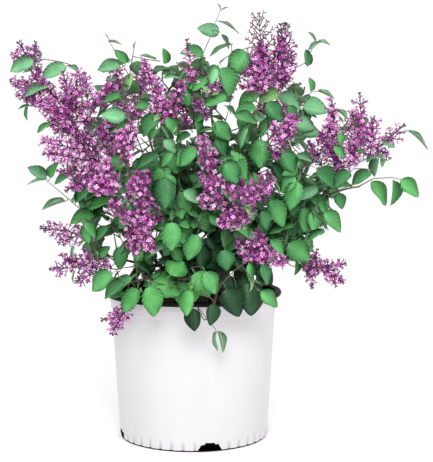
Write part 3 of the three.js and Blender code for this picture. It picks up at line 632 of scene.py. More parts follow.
class Growth:
    """The whole plant on its limbs: stems, twigs, spurs, panicles and leaves."""

    def __init__(self, looks):
        self.looks = looks
        self.leaves = Leaves()
        self.masses = {row.name: (Space(row), Chance(row.seed)) for row in ROWS}
        self.shoots = {row.name: [] for row in ROWS}
        self.panicles, self.guides = [], set()
        for row in ROWS:
            self.grow_frame(row)
        self.follow_plan()
        self.blossom = self.blossom_marks()
        self.front_leaves = seen(self.leaves.middles[: self.leaves.count])
        self.front_sizes = np.array([leaf.blade for leaf in self.leaves.leaves])
        for row in ROWS:
            self.grow_mass(row)
        self.grow_inside()
        for name, shoots in self.shoots.items():
            self.shoots[name] = [shoot for shoot in shoots if shoot.used > 0]

    def grow_frame(self, row):
        """A mass's stem and twigs, as in the solids, and its panicles where the plan names none."""
        (space, chance), shoots = self.masses[row.name], self.shoots[row.name]
        planned = any(bloom.mass == row.name for bloom in BLOOMS)
        panicles = []

        def add(shoot):
            shoots.append(shoot)
            panicle = fit_panicle(space, shoot, panicles) if len(panicles) < row.blooms else None
            if panicle:
                panicles.append(panicle)
                if not planned:
                    shoot.carry()

        stem = make_stem(row)
        add(stem)
        sites = twig_sites(stem, TWIG_PAIRS if row.blooms else TWIG_PAIRS_LEAFY, space, chance)
        for share, start, way, room in sorted(sites, key=lambda site: -site[3]):
            flowers = len(panicles) < row.blooms
            length = min(TWIG_MOST, room * (TWIG_SHARE_FLOWERING if flowers else TWIG_SHARE))
            twig = make_twig(start, way, length).borne_by(stem, share)
            path = twig.marks(0.005, 0)[0][1:]
            enough = length >= (TWIG_LEAST_FLOWERING if flowers else TWIG_LEAST)
            if enough and space.holds(path) and space.clear(path, 0.002):
                add(twig)
        if not planned:
            self.panicles += panicles

    # the plan of the front

    def follow_plan(self):
        """The shoots, panicles and leaves of the plan, each on the nearest twig of its mass."""
        chance = Chance(self.looks.seed + 3)
        rows = {row.name: row for row in ROWS}

        def placed(thing, forward):
            """How deep a thing is, and whether a planned shoot of its mass passes right by."""
            row, spot = rows[thing.mass], (thing.across, thing.up)
            share = forward + (chance() - 0.5) * 2 * DEPTH_SPREAD
            shoots = SHOOTS.get(thing.mass, [])
            beside = any(dist(point, spot) < BESIDE for points in shoots for point in points)
            return middle_of(row)[1] - (0 if beside else share * row.reach), beside

        for mass, shoots in SHOOTS.items():
            depth = middle_of(rows[mass])[1]
            for shoot in shoots:
                points = [seen_at(across * MM, up * MM, depth) for across, up in shoot]
                self.join(mass, points, unit(points[1] - points[0]))
        for bloom in BLOOMS:
            base = seen_at(bloom.across * MM, bloom.up * MM, placed(bloom, BLOOMS_FORWARD)[0])
            way = leaning(bloom.lean, chance.between(-0.1, 0.5))
            self.join(bloom.mass, [base], way)
            self.panicles.append(Panicle(base, way, bloom.length * MM, bloom.girth, bloom.full, TOWARDS))
        for blade in BLADES:
            (depth, beside), length = placed(blade, BLADES_FORWARD), blade.length * MM
            way = leaning(blade.lean, chance.between(0.1, 0.3))
            stalk = SHORT_STALK if beside else LEAF_STALK
            for shift in DEPTH_TRIES:
                base = seen_at(blade.across * MM, blade.up * MM, depth + shift)
                front = square_to(TOWARDS + UP * 0.3, way)
                side = np.cross(way, front)
                side = side if side @ (UP + base * [0.5, 0, 0]) > 0 else -side
                turn = radians(blade.edge)
                root = base - way * length * stalk
                leaf = Leaf(root, way, front * cos(turn) + side * sin(turn), length, blade.tint, stalk)
                place = self.leaves.place(leaf, self.looks.leaf_breadth)
                if not self.leaves.crosses(leaf, *place, 0.008):
                    break
            self.join(blade.mass, [root], way)
            self.leaves.keep(leaf, *place)

    def join(self, mass, points, way):
        """A twig from the nearest one of the mass to the first point, and on through the others."""
        shoots = self.shoots[mass]
        sites = [(shoot, i / 12) for shoot in shoots for i in range(13)]
        starts = np.array([shoot.at(share) for shoot, share in sites])
        gaps = lengths(starts - points[0])
        pull = np.array([GUIDE_PULL if shoot in self.guides else 0.0 for shoot, _ in sites])
        nearest = int(np.argmin(gaps - pull))
        (shoot, share), start, gap = sites[nearest], starts[nearest], float(gaps[nearest])
        thick = min(LINK_RADIUS, shoot.radius_at(share))
        if gap > 0.002:
            bend = points[0] - unit(way * 0.25 + (points[0] - start) / gap + TOWARDS * 0.35) * gap * 0.45
            link = Rod([start, bend, points[0]], thick, TWIG_TIP_RADIUS if len(points) == 1 else thick)
            shoots.append(link.borne_by(shoot, share))
            shoot, share = link, 1.0
        shoot.carry(share)
        for first, last in zip(points, points[1:]):
            thin = max(thick * 0.8, 0.0004)
            part = Rod([first, (first + last) / 2, last], thick, thin).borne_by(shoot, share)
            part.carry()
            shoots.append(part)
            self.guides.add(part)
            shoot, share = part, 1.0
            thick *= 0.8

    def blossom_marks(self):
        """Balls along all the panicles, with the way that each faces."""
        marks = [panicle.marks() for panicle in self.panicles]
        faces = [panicle.faces for panicle, (_, radii) in zip(self.panicles, marks) for _ in radii]
        return *(np.concatenate(part) for part in zip(*marks)), np.array(faces)

    def hides_blossom(self, leaf, middle):
        """Whether a leaf's blade is in a panicle or in front of it."""
        middles, radii, faces = self.blossom
        away = middle - middles
        gaps = lengths(away)
        half = leaf.blade * 0.3
        ahead = (away * faces).sum(1)
        aside = np.sqrt(np.maximum(0, gaps**2 - ahead**2))
        before = (ahead > 0) & (ahead < 0.2) & (aside < radii + half)
        return bool((before | (gaps < radii * 0.7 + half * 0.5)).any())

    def hides_leaf(self, leaf, middle):
        """Whether a leaf is in front of a leaf of the plan."""
        near = lengths(self.front_leaves - seen(middle)) < self.front_sizes * 0.45 + leaf.blade * 0.4
        planned = self.leaves.middles[: len(self.front_leaves)]
        return bool((near & (middle[1] < planned[:, 1])).any())

    # the rest of the leaves

    def grow_mass(self, row):
        """A mass's side shoots, and leaves along everything in it."""
        (space, chance), shoots = self.masses[row.name], self.shoots[row.name]
        for shoot in list(shoots):
            for share, spur in side_shoots(shoot, self.looks.spur_spacing, 0.6, chance, (0.012, 0.034), 0.7):
                path = spur.points(4)[1:]
                if space.holds(path) and space.clear(path, 0.0015) and in_outline(path).all():
                    shoots.append(spur.borne_by(shoot, share))
        for shoot in shoots:
            self.grow_leaves(shoot, space, chance, row.leafy)

    def grow_leaves(self, shoot, space, chance, leafy):
        nodes = max(1, round(shoot.length / self.looks.leaf_spacing))
        turn = chance() * pi
        for node in range(1, nodes + 1):
            share = 0.96 if node == nodes else node / nodes
            for side in (0, pi):
                if chance() < leafy:
                    self.set_leaf(shoot, share, turn + node * pi / 2 + side, chance, space)

    def set_leaf(self, shoot, share, turn, chance, space):
        """Sets one leaf. One that doesn't fit is tried smaller and turned aside, and then left out."""
        looks = self.looks
        blade = chance.between(looks.leaf_least, looks.leaf_most)
        tilt = (chance() - 0.5) * 0.5
        roll = (chance() - 0.5) * 2 * looks.leaf_roll
        root, along = shoot.at(share), shoot.along(share)
        light = unit(root * [1, 1, 0] + 1e-9) * 1.5 + UP
        for twist, size in LEAF_TRIES:
            way = unit(sideways(along, turn + twist) + along * 0.45 + UP * (tilt - 0.4))
            facing = turned_about(square_to(light, way), way, roll)
            leaf = Leaf(root, way, facing, blade * size)
            half, middle, probes = place = self.leaves.place(leaf, looks.leaf_breadth)
            if space:
                free = space.holds(probes, LEAF_SLACK) and space.clear(probes, 0.002)
            else:
                free = not over_pot(probes).any() and clear_of_limbs(probes, 0.002)
            free = free and inside_bounds(probes) and in_outline(probes).all()
            if not free or within(probes, OPENINGS).any():
                continue
            if self.hides_blossom(leaf, middle) or self.hides_leaf(leaf, middle):
                continue
            if not self.leaves.crosses(leaf, *place, looks.leaf_apart):
                self.leaves.keep(leaf, *place)
                shoot.carry(share)
                return

    def grow_inside(self):
        """Leafy spurs along the canes and boughs, in the shade of the masses."""
        chance = Chance(self.looks.seed)
        spurs = []
        for limb in LIMBS.values():
            for _, spur in side_shoots(limb, self.looks.inner_spacing, 0.5, chance, (0.02, 0.06), 0.5, 0.2):
                path = spur.points(6)
                if inner(path).all() and not over_pot(path).any() and clear_of_limbs(path[3:], 0.001):
                    spurs.append(spur)
        for spur in spurs:
            self.grow_leaves(spur, None, chance, 1.0)
        self.shoots["inside"] = spurs


def side_shoots(rod, spacing, first, chance, sizes, lean, rise=0.0):
    """Short shoots in pairs along a rod, each with the share of the rod's length at which it grows."""
    count = int(rod.length / spacing)
    for i in range(count):
        share = (i + first) / count
        turn, along = chance() * pi, rod.along(share)
        for side in (0, pi):
            length = chance.between(*sizes)
            way = unit(along * lean + sideways(along, turn + side) + UP * rise)
            yield share, make_twig(rod.at(share), way, length)


def make_stem(row):
    growth, start = direction(row.heading, row.rise), entry_of(row)
    lifted = direction(row.heading, min(row.rise + STEM_LIFT, 88))
    tip = middle_of(row) + lifted * (STEM_FLOWERING_END if row.blooms else STEM_END) * row.reach
    bend = start + growth * norm(start - tip) * 0.5
    return Rod([start, bend, tip], LIMB_TIP_RADIUS, STEM_TIP_RADIUS)


def make_twig(start, way, length):
    """A twig that leaves in one way and turns up towards the light."""
    bend = start + way * length * 0.5
    tip = bend + unit(way + UP * TWIG_RISE) * length * 0.5
    return Rod([start, bend, tip], TWIG_ROOT_RADIUS, TWIG_TIP_RADIUS)


def twig_sites(stem, pairs, space, chance):
    """Where twigs can leave a stem, in pairs, each pair turned a quarter from the one below."""
    sites = []
    for pair in range(pairs):
        share = (pair + 0.6) / (pairs + 0.4)
        start, along = stem.at(share), stem.along(share)
        turn = (pair % 2) * pi / 2 + (chance() - 0.5) * 0.8
        for side in (0, pi):
            lean = radians(TWIG_ANGLE + (chance() - 0.5) * TWIG_ANGLE_SPREAD)
            way = along * cos(lean) + sideways(along, turn + side) * sin(lean)
            sites.append((share, start, way, space.room(start, way) * (0.85 + 0.15 * chance())))
    return sites


def fit_panicle(space, shoot, others):
    """The longest panicle that keeps to the space, or None."""
    way = shoot.along(1)
    base = shoot.at(1) - way * 0.002
    length = min(PANICLE_MOST, space.room(base, way) + PANICLE_SLACK)
    while length >= PANICLE_LEAST:
        panicle = Panicle(base, way, length)
        probes = panicle.probes()
        crowded = any(other.meets(panicle) for other in others)
        if not crowded and space.holds(probes, PANICLE_SLACK) and space.clear(probes, 0.004):
            return panicle if in_outline(probes).all() else None
        length *= 0.88
    return None


def within(points, discs):
    """Which points are seen within any of the discs of (across, up, radius)."""
    discs = np.array(discs) * MM
    return (lengths(seen(points)[:, None] - discs[:, :2]) < discs[:, 2]).any(1)


def in_outline(points):
    """Which points are seen inside the crown's outline."""
    x, y = (part[:, None] for part in seen(points).T)
    (x0, y0), (x1, y1) = OUTLINE.T * MM, np.roll(OUTLINE, -1, axis=0).T * MM
    rising = (y0 > y) != (y1 > y)
    left = x < x0 + (x1 - x0) * (y - y0) / np.where(y1 == y0, 1e-9, y1 - y0)
    return (rising & left).sum(1) % 2 == 1


def inner(points):
    return (((points - INNER_MIDDLE) / INNER_REACH) ** 2).sum(1) < 1


def inside_bounds(points, margin=0.003):
    return bool((points > np.array(cad_low) + margin).all() and (points < np.array(cad_high) - margin).all())


# ---- node trees


class Value:
    """An output socket of a node tree, with which sums can be written."""

    def __init__(self, tree, socket):
        self.tree, self.socket = tree, socket

    def math(self, operation, *others):
        return self.tree.add("ShaderNodeMath", {"operation": operation}, self, *others)

    def __add__(self, other):
        return self.math("ADD", other)

    def __mul__(self, other):
        return self.math("MULTIPLY", other)

    def __sub__(self, other):
        return self.math("SUBTRACT", other)

    def __rsub__(self, other):
        return self * -1 + other

    def __abs__(self):
        return self.math("ABSOLUTE")

    __radd__, __rmul__ = __add__, __mul__

    def output(self, name):
        """Another output of the same node."""
        return Value(self.tree, find(self.socket.node.outputs, name))


def find(sockets, key):
    """The socket with that index or that name, of those in use."""
    return next(s for i, s in enumerate(s for s in sockets if s.enabled) if key in (i, s.name))


class Tree:
    """A node tree being built, for a material or for Geometry Nodes."""

    def __init__(self, tree):
        self.tree = tree
        tree.nodes.clear()

    def add(self, kind, settings=None, *values, **named):
        """Adds a node with its settings, then the values or links of its sockets, in their order or by name.

        Returns its first output.
        """
        node = self.tree.nodes.new(kind)
        for name, setting in (settings or {}).items():
            setattr(node, name, setting)
        for key, value in [*enumerate(values), *named.items()]:
            socket = find(node.inputs, key.replace("_", " ") if isinstance(key, str) else key)
            if isinstance(value, Value):
                self.tree.links.new(value.socket, socket)
            else:
                socket.default_value = value
        return Value(self, find(node.outputs, 0)) if node.outputs else None


def rgba(colour):
    return (*colour[:3], 1)


class GeometryTree(Tree):
    """A Geometry Nodes tree with named inputs, which takes the object's own geometry first."""

    def __init__(self, name, **inputs):
        group = bpy.data.node_groups.new(name, "GeometryNodeTree")
        super().__init__(group)
        for side in ("INPUT", "OUTPUT"):
            group.interface.new_socket("Geometry", in_out=side, socket_type="NodeSocketGeometry")
        self.ids = {}
        for label, kind in inputs.items():
            socket = group.interface.new_socket(label, in_out="INPUT", socket_type="NodeSocket" + kind)
            self.ids[label] = socket.identifier
        self.start = self.add("NodeGroupInput")

    def given(self, label):
        return self.start.output(label)

    def attribute(self, name, kind="FLOAT"):
        return self.add("GeometryNodeInputNamedAttribute", {"data_type": kind}, Name=name)

    def instances(self, points, turn, size, **chosen):
        """The shapes of the collection Shapes on points, turned by Euler angles and scaled."""
        shapes = self.add("GeometryNodeCollectionInfo", {}, self.given("Shapes"), True, True)
        placed = {"Points": points, "Instance": shapes, "Pick Instance": True, "Scale": size, **chosen}
        turn = self.add("FunctionNodeEulerToRotation", {}, turn)
        return self.add("GeometryNodeInstanceOnPoints", {}, Rotation=turn, **placed)

    def finish(self, geometry, back=False):
        """Ends the tree with real meshes in the material Face, or Back where the attribute "back" says so."""
        made = self.add("GeometryNodeRealizeInstances", {}, geometry)
        made = self.add("GeometryNodeSetMaterial", {}, Geometry=made, Material=self.given("Face"))
        if back:
            chosen, other = self.attribute("back", "BOOLEAN"), self.given("Back")
            made = self.add("GeometryNodeSetMaterial", {}, Geometry=made, Selection=chosen, Material=other)
        self.add("NodeGroupOutput", {}, made)
        return self

    def apply_to(self, source, shapes=(), **values):
        """The mesh that the tree makes of an object, with shapes to set and values for its inputs."""
        modifier = source.modifiers.new(self.tree.name, "NODES")
        modifier.node_group = self.tree
        collection = bpy.data.collections.new("shapes")
        for i, mesh in enumerate(shapes):
            collection.objects.link(bpy.data.objects.new(f"shape_{i:02d}", mesh))
        if shapes:
            values["Shapes"] = collection
        for label, value in values.items():
            modifier[self.ids[label]] = value
        mesh = plain_mesh(source, *collection.objects)
        bpy.data.collections.remove(collection)
        return mesh


def plain_mesh(source, *helpers):
    """The mesh that an object's modifiers make. The object goes, with those that helped to make it."""
    bpy.context.view_layer.update()
    mesh = bpy.data.meshes.new_from_object(source.evaluated_get(bpy.context.evaluated_depsgraph_get()))
    for used in (source, *helpers):
        bpy.data.objects.remove(used)
    return mesh


@functools.cache
def scatter_tree():
    """Sets a shape on each point, by its turn, size and shape, with a second material on backs."""
    tree = GeometryTree("Scatter shapes", Shapes="Collection", Size="Float", Face="Material", Back="Material")
    turn, size = tree.attribute("turn", "FLOAT_VECTOR"), tree.attribute("size") * tree.given("Size")
    placed = tree.instances(tree.start, turn, size, Instance_Index=tree.attribute("shape", "INT"))
    return tree.finish(placed, back=True)


@functools.cache
def rod_tree():
    """Gives lines the thickness of their points, with relief that follows a noise, and closes their ends."""
    inputs = {"Sides": "Int", "Step": "Float", "Relief": "Float", "Grain": "Float", "Face": "Material"}
    tree = GeometryTree("Rods along lines", **inputs)
    lines = tree.add("GeometryNodeMeshToCurve", {}, Mesh=tree.start)
    even = tree.add("GeometryNodeResampleCurve", {"mode": "LENGTH"}, Curve=lines, Length=tree.given("Step"))
    ring = tree.add("GeometryNodeCurvePrimitiveCircle", {}, Resolution=tree.given("Sides"), Radius=1.0)
    thick = tree.attribute("thickness")
    tube = tree.add("GeometryNodeCurveToMesh", {}, even, ring, thick, True)
    grain = tree.add("ShaderNodeTexNoise", {}, Scale=tree.given("Grain"), Detail=3.0)
    depth = (grain - 0.5) * tree.given("Relief")
    outwards = tree.add("GeometryNodeInputNormal")
    away = tree.add("ShaderNodeVectorMath", {"operation": "SCALE"}, Vector=outwards, Scale=depth)
    moved = tree.add("GeometryNodeSetPosition", {}, Geometry=tube, Offset=away)
    return tree.finish(tree.add("GeometryNodeSetShadeSmooth", {}, Geometry=moved))


@functools.cache
def litter_tree():
    """Strews shapes over a surface, lying as they fall."""
    inputs = {"Shapes": "Collection", "Density": "Float", "Size": "Float", "Seed": "Int", "Face": "Material"}
    tree = GeometryTree("Strewn shapes", **inputs)
    size, seed, density = tree.given("Size"), tree.given("Seed"), tree.given("Density")
    strewn = {"Mesh": tree.start, "Density": density, "Seed": seed}
    spread = tree.add("GeometryNodeDistributePointsOnFaces", {}, **strewn)
    kind, flat, round_about = "FunctionNodeRandomValue", (-0.7, -0.7, 0.0), (0.7, 0.7, TAU)
    lie = tree.add(kind, {"data_type": "FLOAT_VECTOR"}, Min=flat, Max=round_about, Seed=seed + 1)
    part = tree.add(kind, {"data_type": "FLOAT"}, Min=0.5, Max=1.3, Seed=seed + 2)
    return tree.finish(tree.instances(spread, lie, part * size))


# ---- meshes


def mesh_of(name, points, faces=(), edges=(), back=None):
    """A mesh, with a mark on each face that takes the second material if back says so for each."""
    mesh = bpy.data.meshes.new(name)
    mesh.from_pydata([tuple(p) for p in points], edges, faces)
    if back:
        mesh.attributes.new("back", "BOOLEAN", "FACE").data.foreach_set("value", back)
    mesh.update()
    return mesh


def ring(y, z, radius, count, spin=0.0):
    """Points in a circle square to Y."""
    turns = [k * TAU / count + spin for k in range(count)]
    return [(radius * cos(turn), y, z + radius * sin(turn)) for turn in turns]


def sleeve(low, count, turned=False):
    """The quads that join the ring of points from index low on to the ring after it."""
    high, pairs = low + count, [(k, (k + 1) % count) for k in range(count)]
    quads = [(low + k, high + k, high + after, low + after) for k, after in pairs]
    return [(quad[0], *quad[:0:-1]) for quad in quads] if turned else quads


def new_object(name, mesh):
    made = bpy.data.objects.new(name, mesh)
    bpy.context.scene.collection.objects.link(made)
    return made


def piece(name, mesh, replaced=()):
    """Makes a mesh a piece of the plant, which stands for these nodes."""
    for polygon in mesh.polygons:
        polygon.use_smooth = True
    made = new_object(name, mesh)
    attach(made, "root")
    if replaced:
        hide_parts(*replaced)
    return made


def set_points(mesh, name, kind, values):
    layer = mesh.attributes.new(name, kind, "POINT")
    layer.data.foreach_set("vector" if kind == "FLOAT_VECTOR" else "value", np.array(values).ravel())


Spot = namedtuple("Spot", "place way facing size shape tone")


def scattered(name, spots, shapes, face, back):
    """The mesh of shapes set on spots, with their Y along a spot's way and their Z facing as it does."""
    points = mesh_of(name, [spot.place for spot in spots])
    axes = [(np.cross(spot.way, spot.facing), spot.way, spot.facing) for spot in spots]
    turns = [Matrix(np.array(three).T.tolist()).to_euler() for three in axes]
    set_points(points, "turn", "FLOAT_VECTOR", turns)
    for field, kind in {"size": "FLOAT", "shape": "INT", "tone": "FLOAT"}.items():
        set_points(points, field, kind, [getattr(spot, field) for spot in spots])
    return scatter_tree().apply_to(new_object(name, points), shapes, Size=1.0, Face=face, Back=back)


def rods(name, lines, sides, step, relief, grain, bark):
    """The mesh of tubes along lines of (point, radius), with so many sides and a ring at every step."""
    points, radii, edges = [], [], []
    for line in lines:
        first = len(points)
        points += [point for point, _ in line]
        radii += [radius for _, radius in line]
        edges += [(i, i + 1) for i in range(first, len(points) - 1)]
    mesh = mesh_of(name, points, edges=edges)
    set_points(mesh, "thickness", "FLOAT", radii)
    source = new_object(name, mesh)
    return rod_tree().apply_to(source, Sides=sides, Step=step, Relief=relief, Grain=grain, Face=bark)


def line_of(rod, steps, up_to=1.0, root=1.0, tip=1.0):
    """Points and radii along a rod, with its radius changed by a factor at the root and at the tip."""
    shares = [up_to * i / steps for i in range(steps + 1)]
    return [(rod.at(share), rod.radius_at(share) * (root + (tip - root) * share)) for share in shares]


def revolved(name, profile, sides, shape):
    """The closed skin of a profile of (radius, height) turned round Z, from the axis to the axis."""
    points, faces = [(0.0, 0.0, profile[0][1])], []
    for radius, height in profile[1:-1]:
        for k in range(sides):
            turn = k * TAU / sides
            r, z = shape(radius, height, turn)
            points.append((r * cos(turn), r * sin(turn), z))
    points.append((0.0, 0.0, profile[-1][1]))
    top = len(points) - 1 - sides
    for k in range(sides):
        after = (k + 1) % sides
        faces.append((0, 1 + after, 1 + k))
        for low in range(1, top, sides):
            faces.append((low + k, low + after, low + sides + after, low + sides + k))
        faces.append((top + sides, top + k, top + after))
    return mesh_of(name, points, faces)


# ---- materials


class Surface(Tree):
    """The tree of a material, which ends in a principled shader."""

    def __init__(self, name):
        self.material = bpy.data.materials.new(name)
        self.material.use_nodes = True
        self.material.diffuse_color = (0.5, 0.5, 0.5, 1)
        super().__init__(self.material.node_tree)

    def place(self):
        return self.add("ShaderNodeTexCoord").output("Object")

    def noise(self, scale, detail=3.0, stretch=(1, 1, 1)):
        spread = self.add("ShaderNodeMapping", {}, Vector=self.place(), Scale=stretch)
        return self.add("ShaderNodeTexNoise", {}, Vector=spread, Scale=scale, Detail=detail)

    def attribute(self, name):
        return self.add("ShaderNodeAttribute", {"attribute_name": name}).output("Fac")

    def blend(self, share, low, high):
        """A colour between two, by a share."""
        ends = {key: end if isinstance(end, Value) else rgba(end) for key, end in (("A", low), ("B", high))}
        return self.add("ShaderNodeMix", {"data_type": "RGBA"}, Factor=share, **ends)

    def step(self, value, low, high):
        """0 below low, 1 above high, and a smooth step between them."""
        way = {"interpolation_type": "SMOOTHSTEP"}
        return self.add("ShaderNodeMapRange", way, Value=value, From_Min=low, From_Max=high)

    def finish(self, height=None, distance=0.0, **inputs):
        """The material: its shader takes these inputs, and a bump of this height."""
        if height:
            bump = {"Height": height, "Distance": distance, "Strength": 1.0}
            inputs["Normal"] = self.add("ShaderNodeBump", {}, **bump)
        self.add("ShaderNodeOutputMaterial", {}, self.add("ShaderNodeBsdfPrincipled", {}, **inputs))
        return self.material


def shade(colour, factor):
    return tuple(min(1.0, c * factor) for c in colour[:3])


def moulded_plastic(name, colour, worn, roughness, coat, gloss=0.35, recess_shade=None):
    """Plastic with a faint cloudiness, greyed by painted shade in its hollows, by the share that the given mask
    gives.
    """
    tree = Surface(name)
    cloud, flow, grain = tree.noise(9.0), tree.noise(30.0, stretch=(1, 1, 0.12)), tree.noise(900.0, 1.0)
    ground = tree.blend(tree.step(cloud * 0.6 + flow * 0.4, 0.35, 0.75), colour, shade(colour, worn))
    if recess_shade:
        # painted shade: the plastic greys where the mask says the wall is sunk
        ground = tree.blend(recess_shade(tree) * 0.55, ground, shade(colour, 0.55))
    rough = flow * 0.16 + (roughness - 0.08)
    shine = {"Coat_Weight": coat, "Coat_Roughness": 0.2, "Specular_IOR_Level": gloss}
    return tree.finish(grain + cloud * 0.5, 0.00008, Base_Color=ground, Roughness=rough, **shine)


def crumbly(name, dark, light, scale, relief, gloss=0.5):
    """Loose bark and compost."""
    tree = Surface(name)
    lumps, patches = tree.noise(scale, 5.0), tree.noise(scale * 0.3)
    ground = tree.blend(tree.step(lumps * 0.5 + patches * 0.5, 0.38, 0.66), dark, light)
    return tree.finish(lumps, relief, Base_Color=ground, Roughness=lumps * 0.2 + 0.72, Specular_IOR_Level=gloss)


def young_bark(name, colour, scale):
    """Smooth bark with paler pores and darker bands."""
    tree = Surface(name)
    bands = tree.noise(scale * 0.5, 4.0, (1, 1, 0.4))
    pores = tree.add("ShaderNodeTexVoronoi", {"feature": "F1"}, Vector=tree.place(), Scale=scale * 2.2)
    spots = 1 - tree.step(pores, 0.12, 0.3)
    ground = tree.blend(tree.step(bands, 0.3, 0.7), shade(colour, 0.55), shade(colour, 1.15))
    ground = tree.blend(spots * 0.6, ground, shade(colour, 1.9))
    return tree.finish(bands + spots * 0.6, 0.0004, Base_Color=ground, Roughness=bands * 0.25 + 0.55)


def leaf_side(name, colour, vein, roughness, relief):
    """One side of a leaf, with a midrib and side veins that curve forwards, paler by the factor vein."""
    tree = Surface(name)
    across = tree.add("ShaderNodeSeparateXYZ", {}, tree.add("ShaderNodeUVMap", {"uv_map": "blade"}))
    off = abs(across - 0.5)
    midrib = 1 - tree.step(off, 0.006, 0.028)
    wave = ((across.output("Y") - off * 0.62) * 7.0).math("PINGPONG", 0.5)
    sides = (1 - tree.step(wave, 0.02, 0.13)) * (1 - tree.step(off, 0.3, 0.5))
    veins = (midrib + sides * 0.55).math("MINIMUM", 1.0)
    cloud = tree.noise(60.0, 4.0)
    uneven = tree.step(cloud * 0.9 + tree.attribute("tone") * 0.4 + off * 0.2, 0.3, 1.0)
    ground = tree.blend(uneven, shade(colour, 0.66), shade(colour, 1.36))
    ground = tree.blend(veins * 0.55, ground, shade(colour, vein))
    rough, height = cloud * 0.16 + (roughness - 0.08), wave * 0.6 + cloud * 0.3 - midrib
    return tree.finish(height, relief, Base_Color=ground, Roughness=rough, Specular_IOR_Level=0.3)


def petal(name, throat, tip):
    """Petals that pale from the throat to the tip, a little uneven from flower to flower."""
    tree = Surface(name)
    cloud = tree.noise(160.0, 2.0)
    pale = tree.step(tree.attribute("paleness") + tree.attribute("tone") - 0.5, 0.0, 1.1)
    ground = tree.blend(pale, throat, tip)
    return tree.finish(cloud, 0.0001, Base_Color=ground, Roughness=cloud * 0.2 + 0.5, Specular_IOR_Level=0.25)


# ---- settings


def number(name, default, description, **more):
    return FloatProperty(name=name, default=default, description=description, **more)


def metres(name, default, description, low=0.0001, high=2.0):
    return number(name, default, description, min=low, max=high, unit="LENGTH", precision=4)


def angle(name, degrees, description):
    return number(name, radians(degrees), description, subtype="ANGLE")


def whole(name, default, description, **more):
    return IntProperty(name=name, default=default, description=description, **more)


def rgb(name, default, description):
    limits = {"subtype": "COLOR", "min": 0, "max": 1}
    return FloatVectorProperty(name=name, default=default, description=description, **limits)


class PotSettings(bpy.types.PropertyGroup):
    height: metres("Height", POT_HIGH.z, "From the floor to the top of the lip")
    lip_radius: metres("Lip radius", POT_HIGH.x, "The outside of the rolled lip")
    neck_radius: metres("Neck radius", 0.1325, "The wall right under the lip")
    base_radius: metres("Base radius", 0.1182, "The wall at the floor, before the nesting step")
    lip_height: metres("Lip height", 0.008, "How tall the lip is")
    wall: metres("Wall", 0.0018, "Thickness of the wall")
    ledge_drop: metres("Ledge drop", 0.0085, "From the lip down to the faint ledge")
    step_drop: metres("Step drop", 0.020, "From the lip down to the nesting step")
    step: metres("Nesting step", 0.0012, "How far the wall steps in")
    flute_height: metres("Flute height", 0.019, "How far the flutes run up the foot")
    flute_depth: metres("Flute depth", 0.0022, "How far they go in")
    flutes: whole("Flutes", 40, "Number of flutes round the foot", min=4, max=96)
    drains: whole("Drains", 4, "Number of drain openings", min=0, max=12)
    drain_turn: angle("Drain turn", -76.8, "Where the first drain is, round the axis")
    drain_width: metres("Drain width", 0.040, "Width of a drain at the floor")
    drain_height: metres("Drain height", 0.014, "Height of a drain")
    body: rgb("Body", (0.555, 0.54, 0.56), "The wall outside")
    lip: rgb("Lip", (0.006, 0.005, 0.006), "The rolled lip")
    # Black inside, as the real pot is; underneath, the same black is painted shade where the pot meets the
    # floor.
    inside: rgb("Inside", (0.004, 0.003, 0.003), "The wall inside and underneath")


class MixSettings(bpy.types.PropertyGroup):
    roughness: metres("Surface relief", 0.005, "How uneven the top of the mix is")
    chip_length: metres("Chip length", 0.016, "Length of a bark chip")
    chip_density: number("Chip density", 22000, "Chips to the square metre", min=0)
    dark: rgb("Dark", (0.010, 0.007, 0.005), "Moist mix and chips")
    light: rgb("Light", (0.090, 0.055, 0.036), "Dry faces of chips")
    seed: whole("Seed", 7, "How the chips fall")


class PlantSettings(bpy.types.PropertyGroup):
    seed: whole("Seed", 271, "How the spurs inside the crown grow")
    bark_relief: metres("Bark relief", 0.0007, "How uneven the bark is")
    spur_spacing: metres("Spur spacing", 0.026, "Between side shoots of a twig")
    inner_spacing: metres("Inner spacing", 0.030, "Between spurs on the limbs inside the crown")
    leaf_spacing: metres("Leaf spacing", 0.020, "Between pairs of leaves along a shoot")
    leaf_least: metres("Least leaf", 0.028, "Blade length of the smallest grown leaf")
    leaf_most: metres("Largest leaf", 0.046, "Blade length of the largest leaf")
    leaf_apart: metres("Leaves apart", 0.014, "Least distance between the middles of two blades")
    leaf_breadth: number("Leaf breadth", 0.78, "Breadth over length", min=0.2, max=1.5)
    leaf_roll: number("Leaf roll", 0.65, "Most that a blade is turned about its midrib", subtype="ANGLE")
    floret_length: metres("Floret length", 0.0078, "Length of a floret's tube")
    branch_spacing: metres("Branch spacing", 0.0056, "Between pairs of branches in a panicle")
    bark: rgb("Bark", (0.16, 0.105, 0.065), "Canes and boughs")
    twig: rgb("Twigs", (0.085, 0.070, 0.040), "Stems, twigs and spurs")
    sunlit: rgb("Sunlit leaves", (0.070, 0.280, 0.072), "Leaves at the outside")
    green: rgb("Green leaves", (0.070, 0.268, 0.080), "Most leaves")
    shaded: rgb("Shaded leaves", (0.038, 0.165, 0.054), "Leaves inside the crown")
    dim: rgb("Dim leaves", (0.010, 0.046, 0.016), "Leaves where the crown is deep in shade")
    bluish: rgb("Bluish leaves", (0.135, 0.340, 0.165), "Leaves that catch the sky")
    young: rgb("Young leaves", (0.20, 0.42, 0.15), "Small leaves at the tips")
    deep: rgb("Deep florets", (0.24, 0.016, 0.24), "Florets in the shade and just open")
    bright: rgb("Bright florets", (0.52, 0.048, 0.39), "Most florets")
    pale: rgb("Pale florets", (0.75, 0.31, 0.67), "Florets that fade")
    buds: rgb("Buds", (0.13, 0.012, 0.09), "Closed buds")
    stalk: rgb("Panicle stalks", (0.105, 0.022, 0.075), "Branches of a panicle")


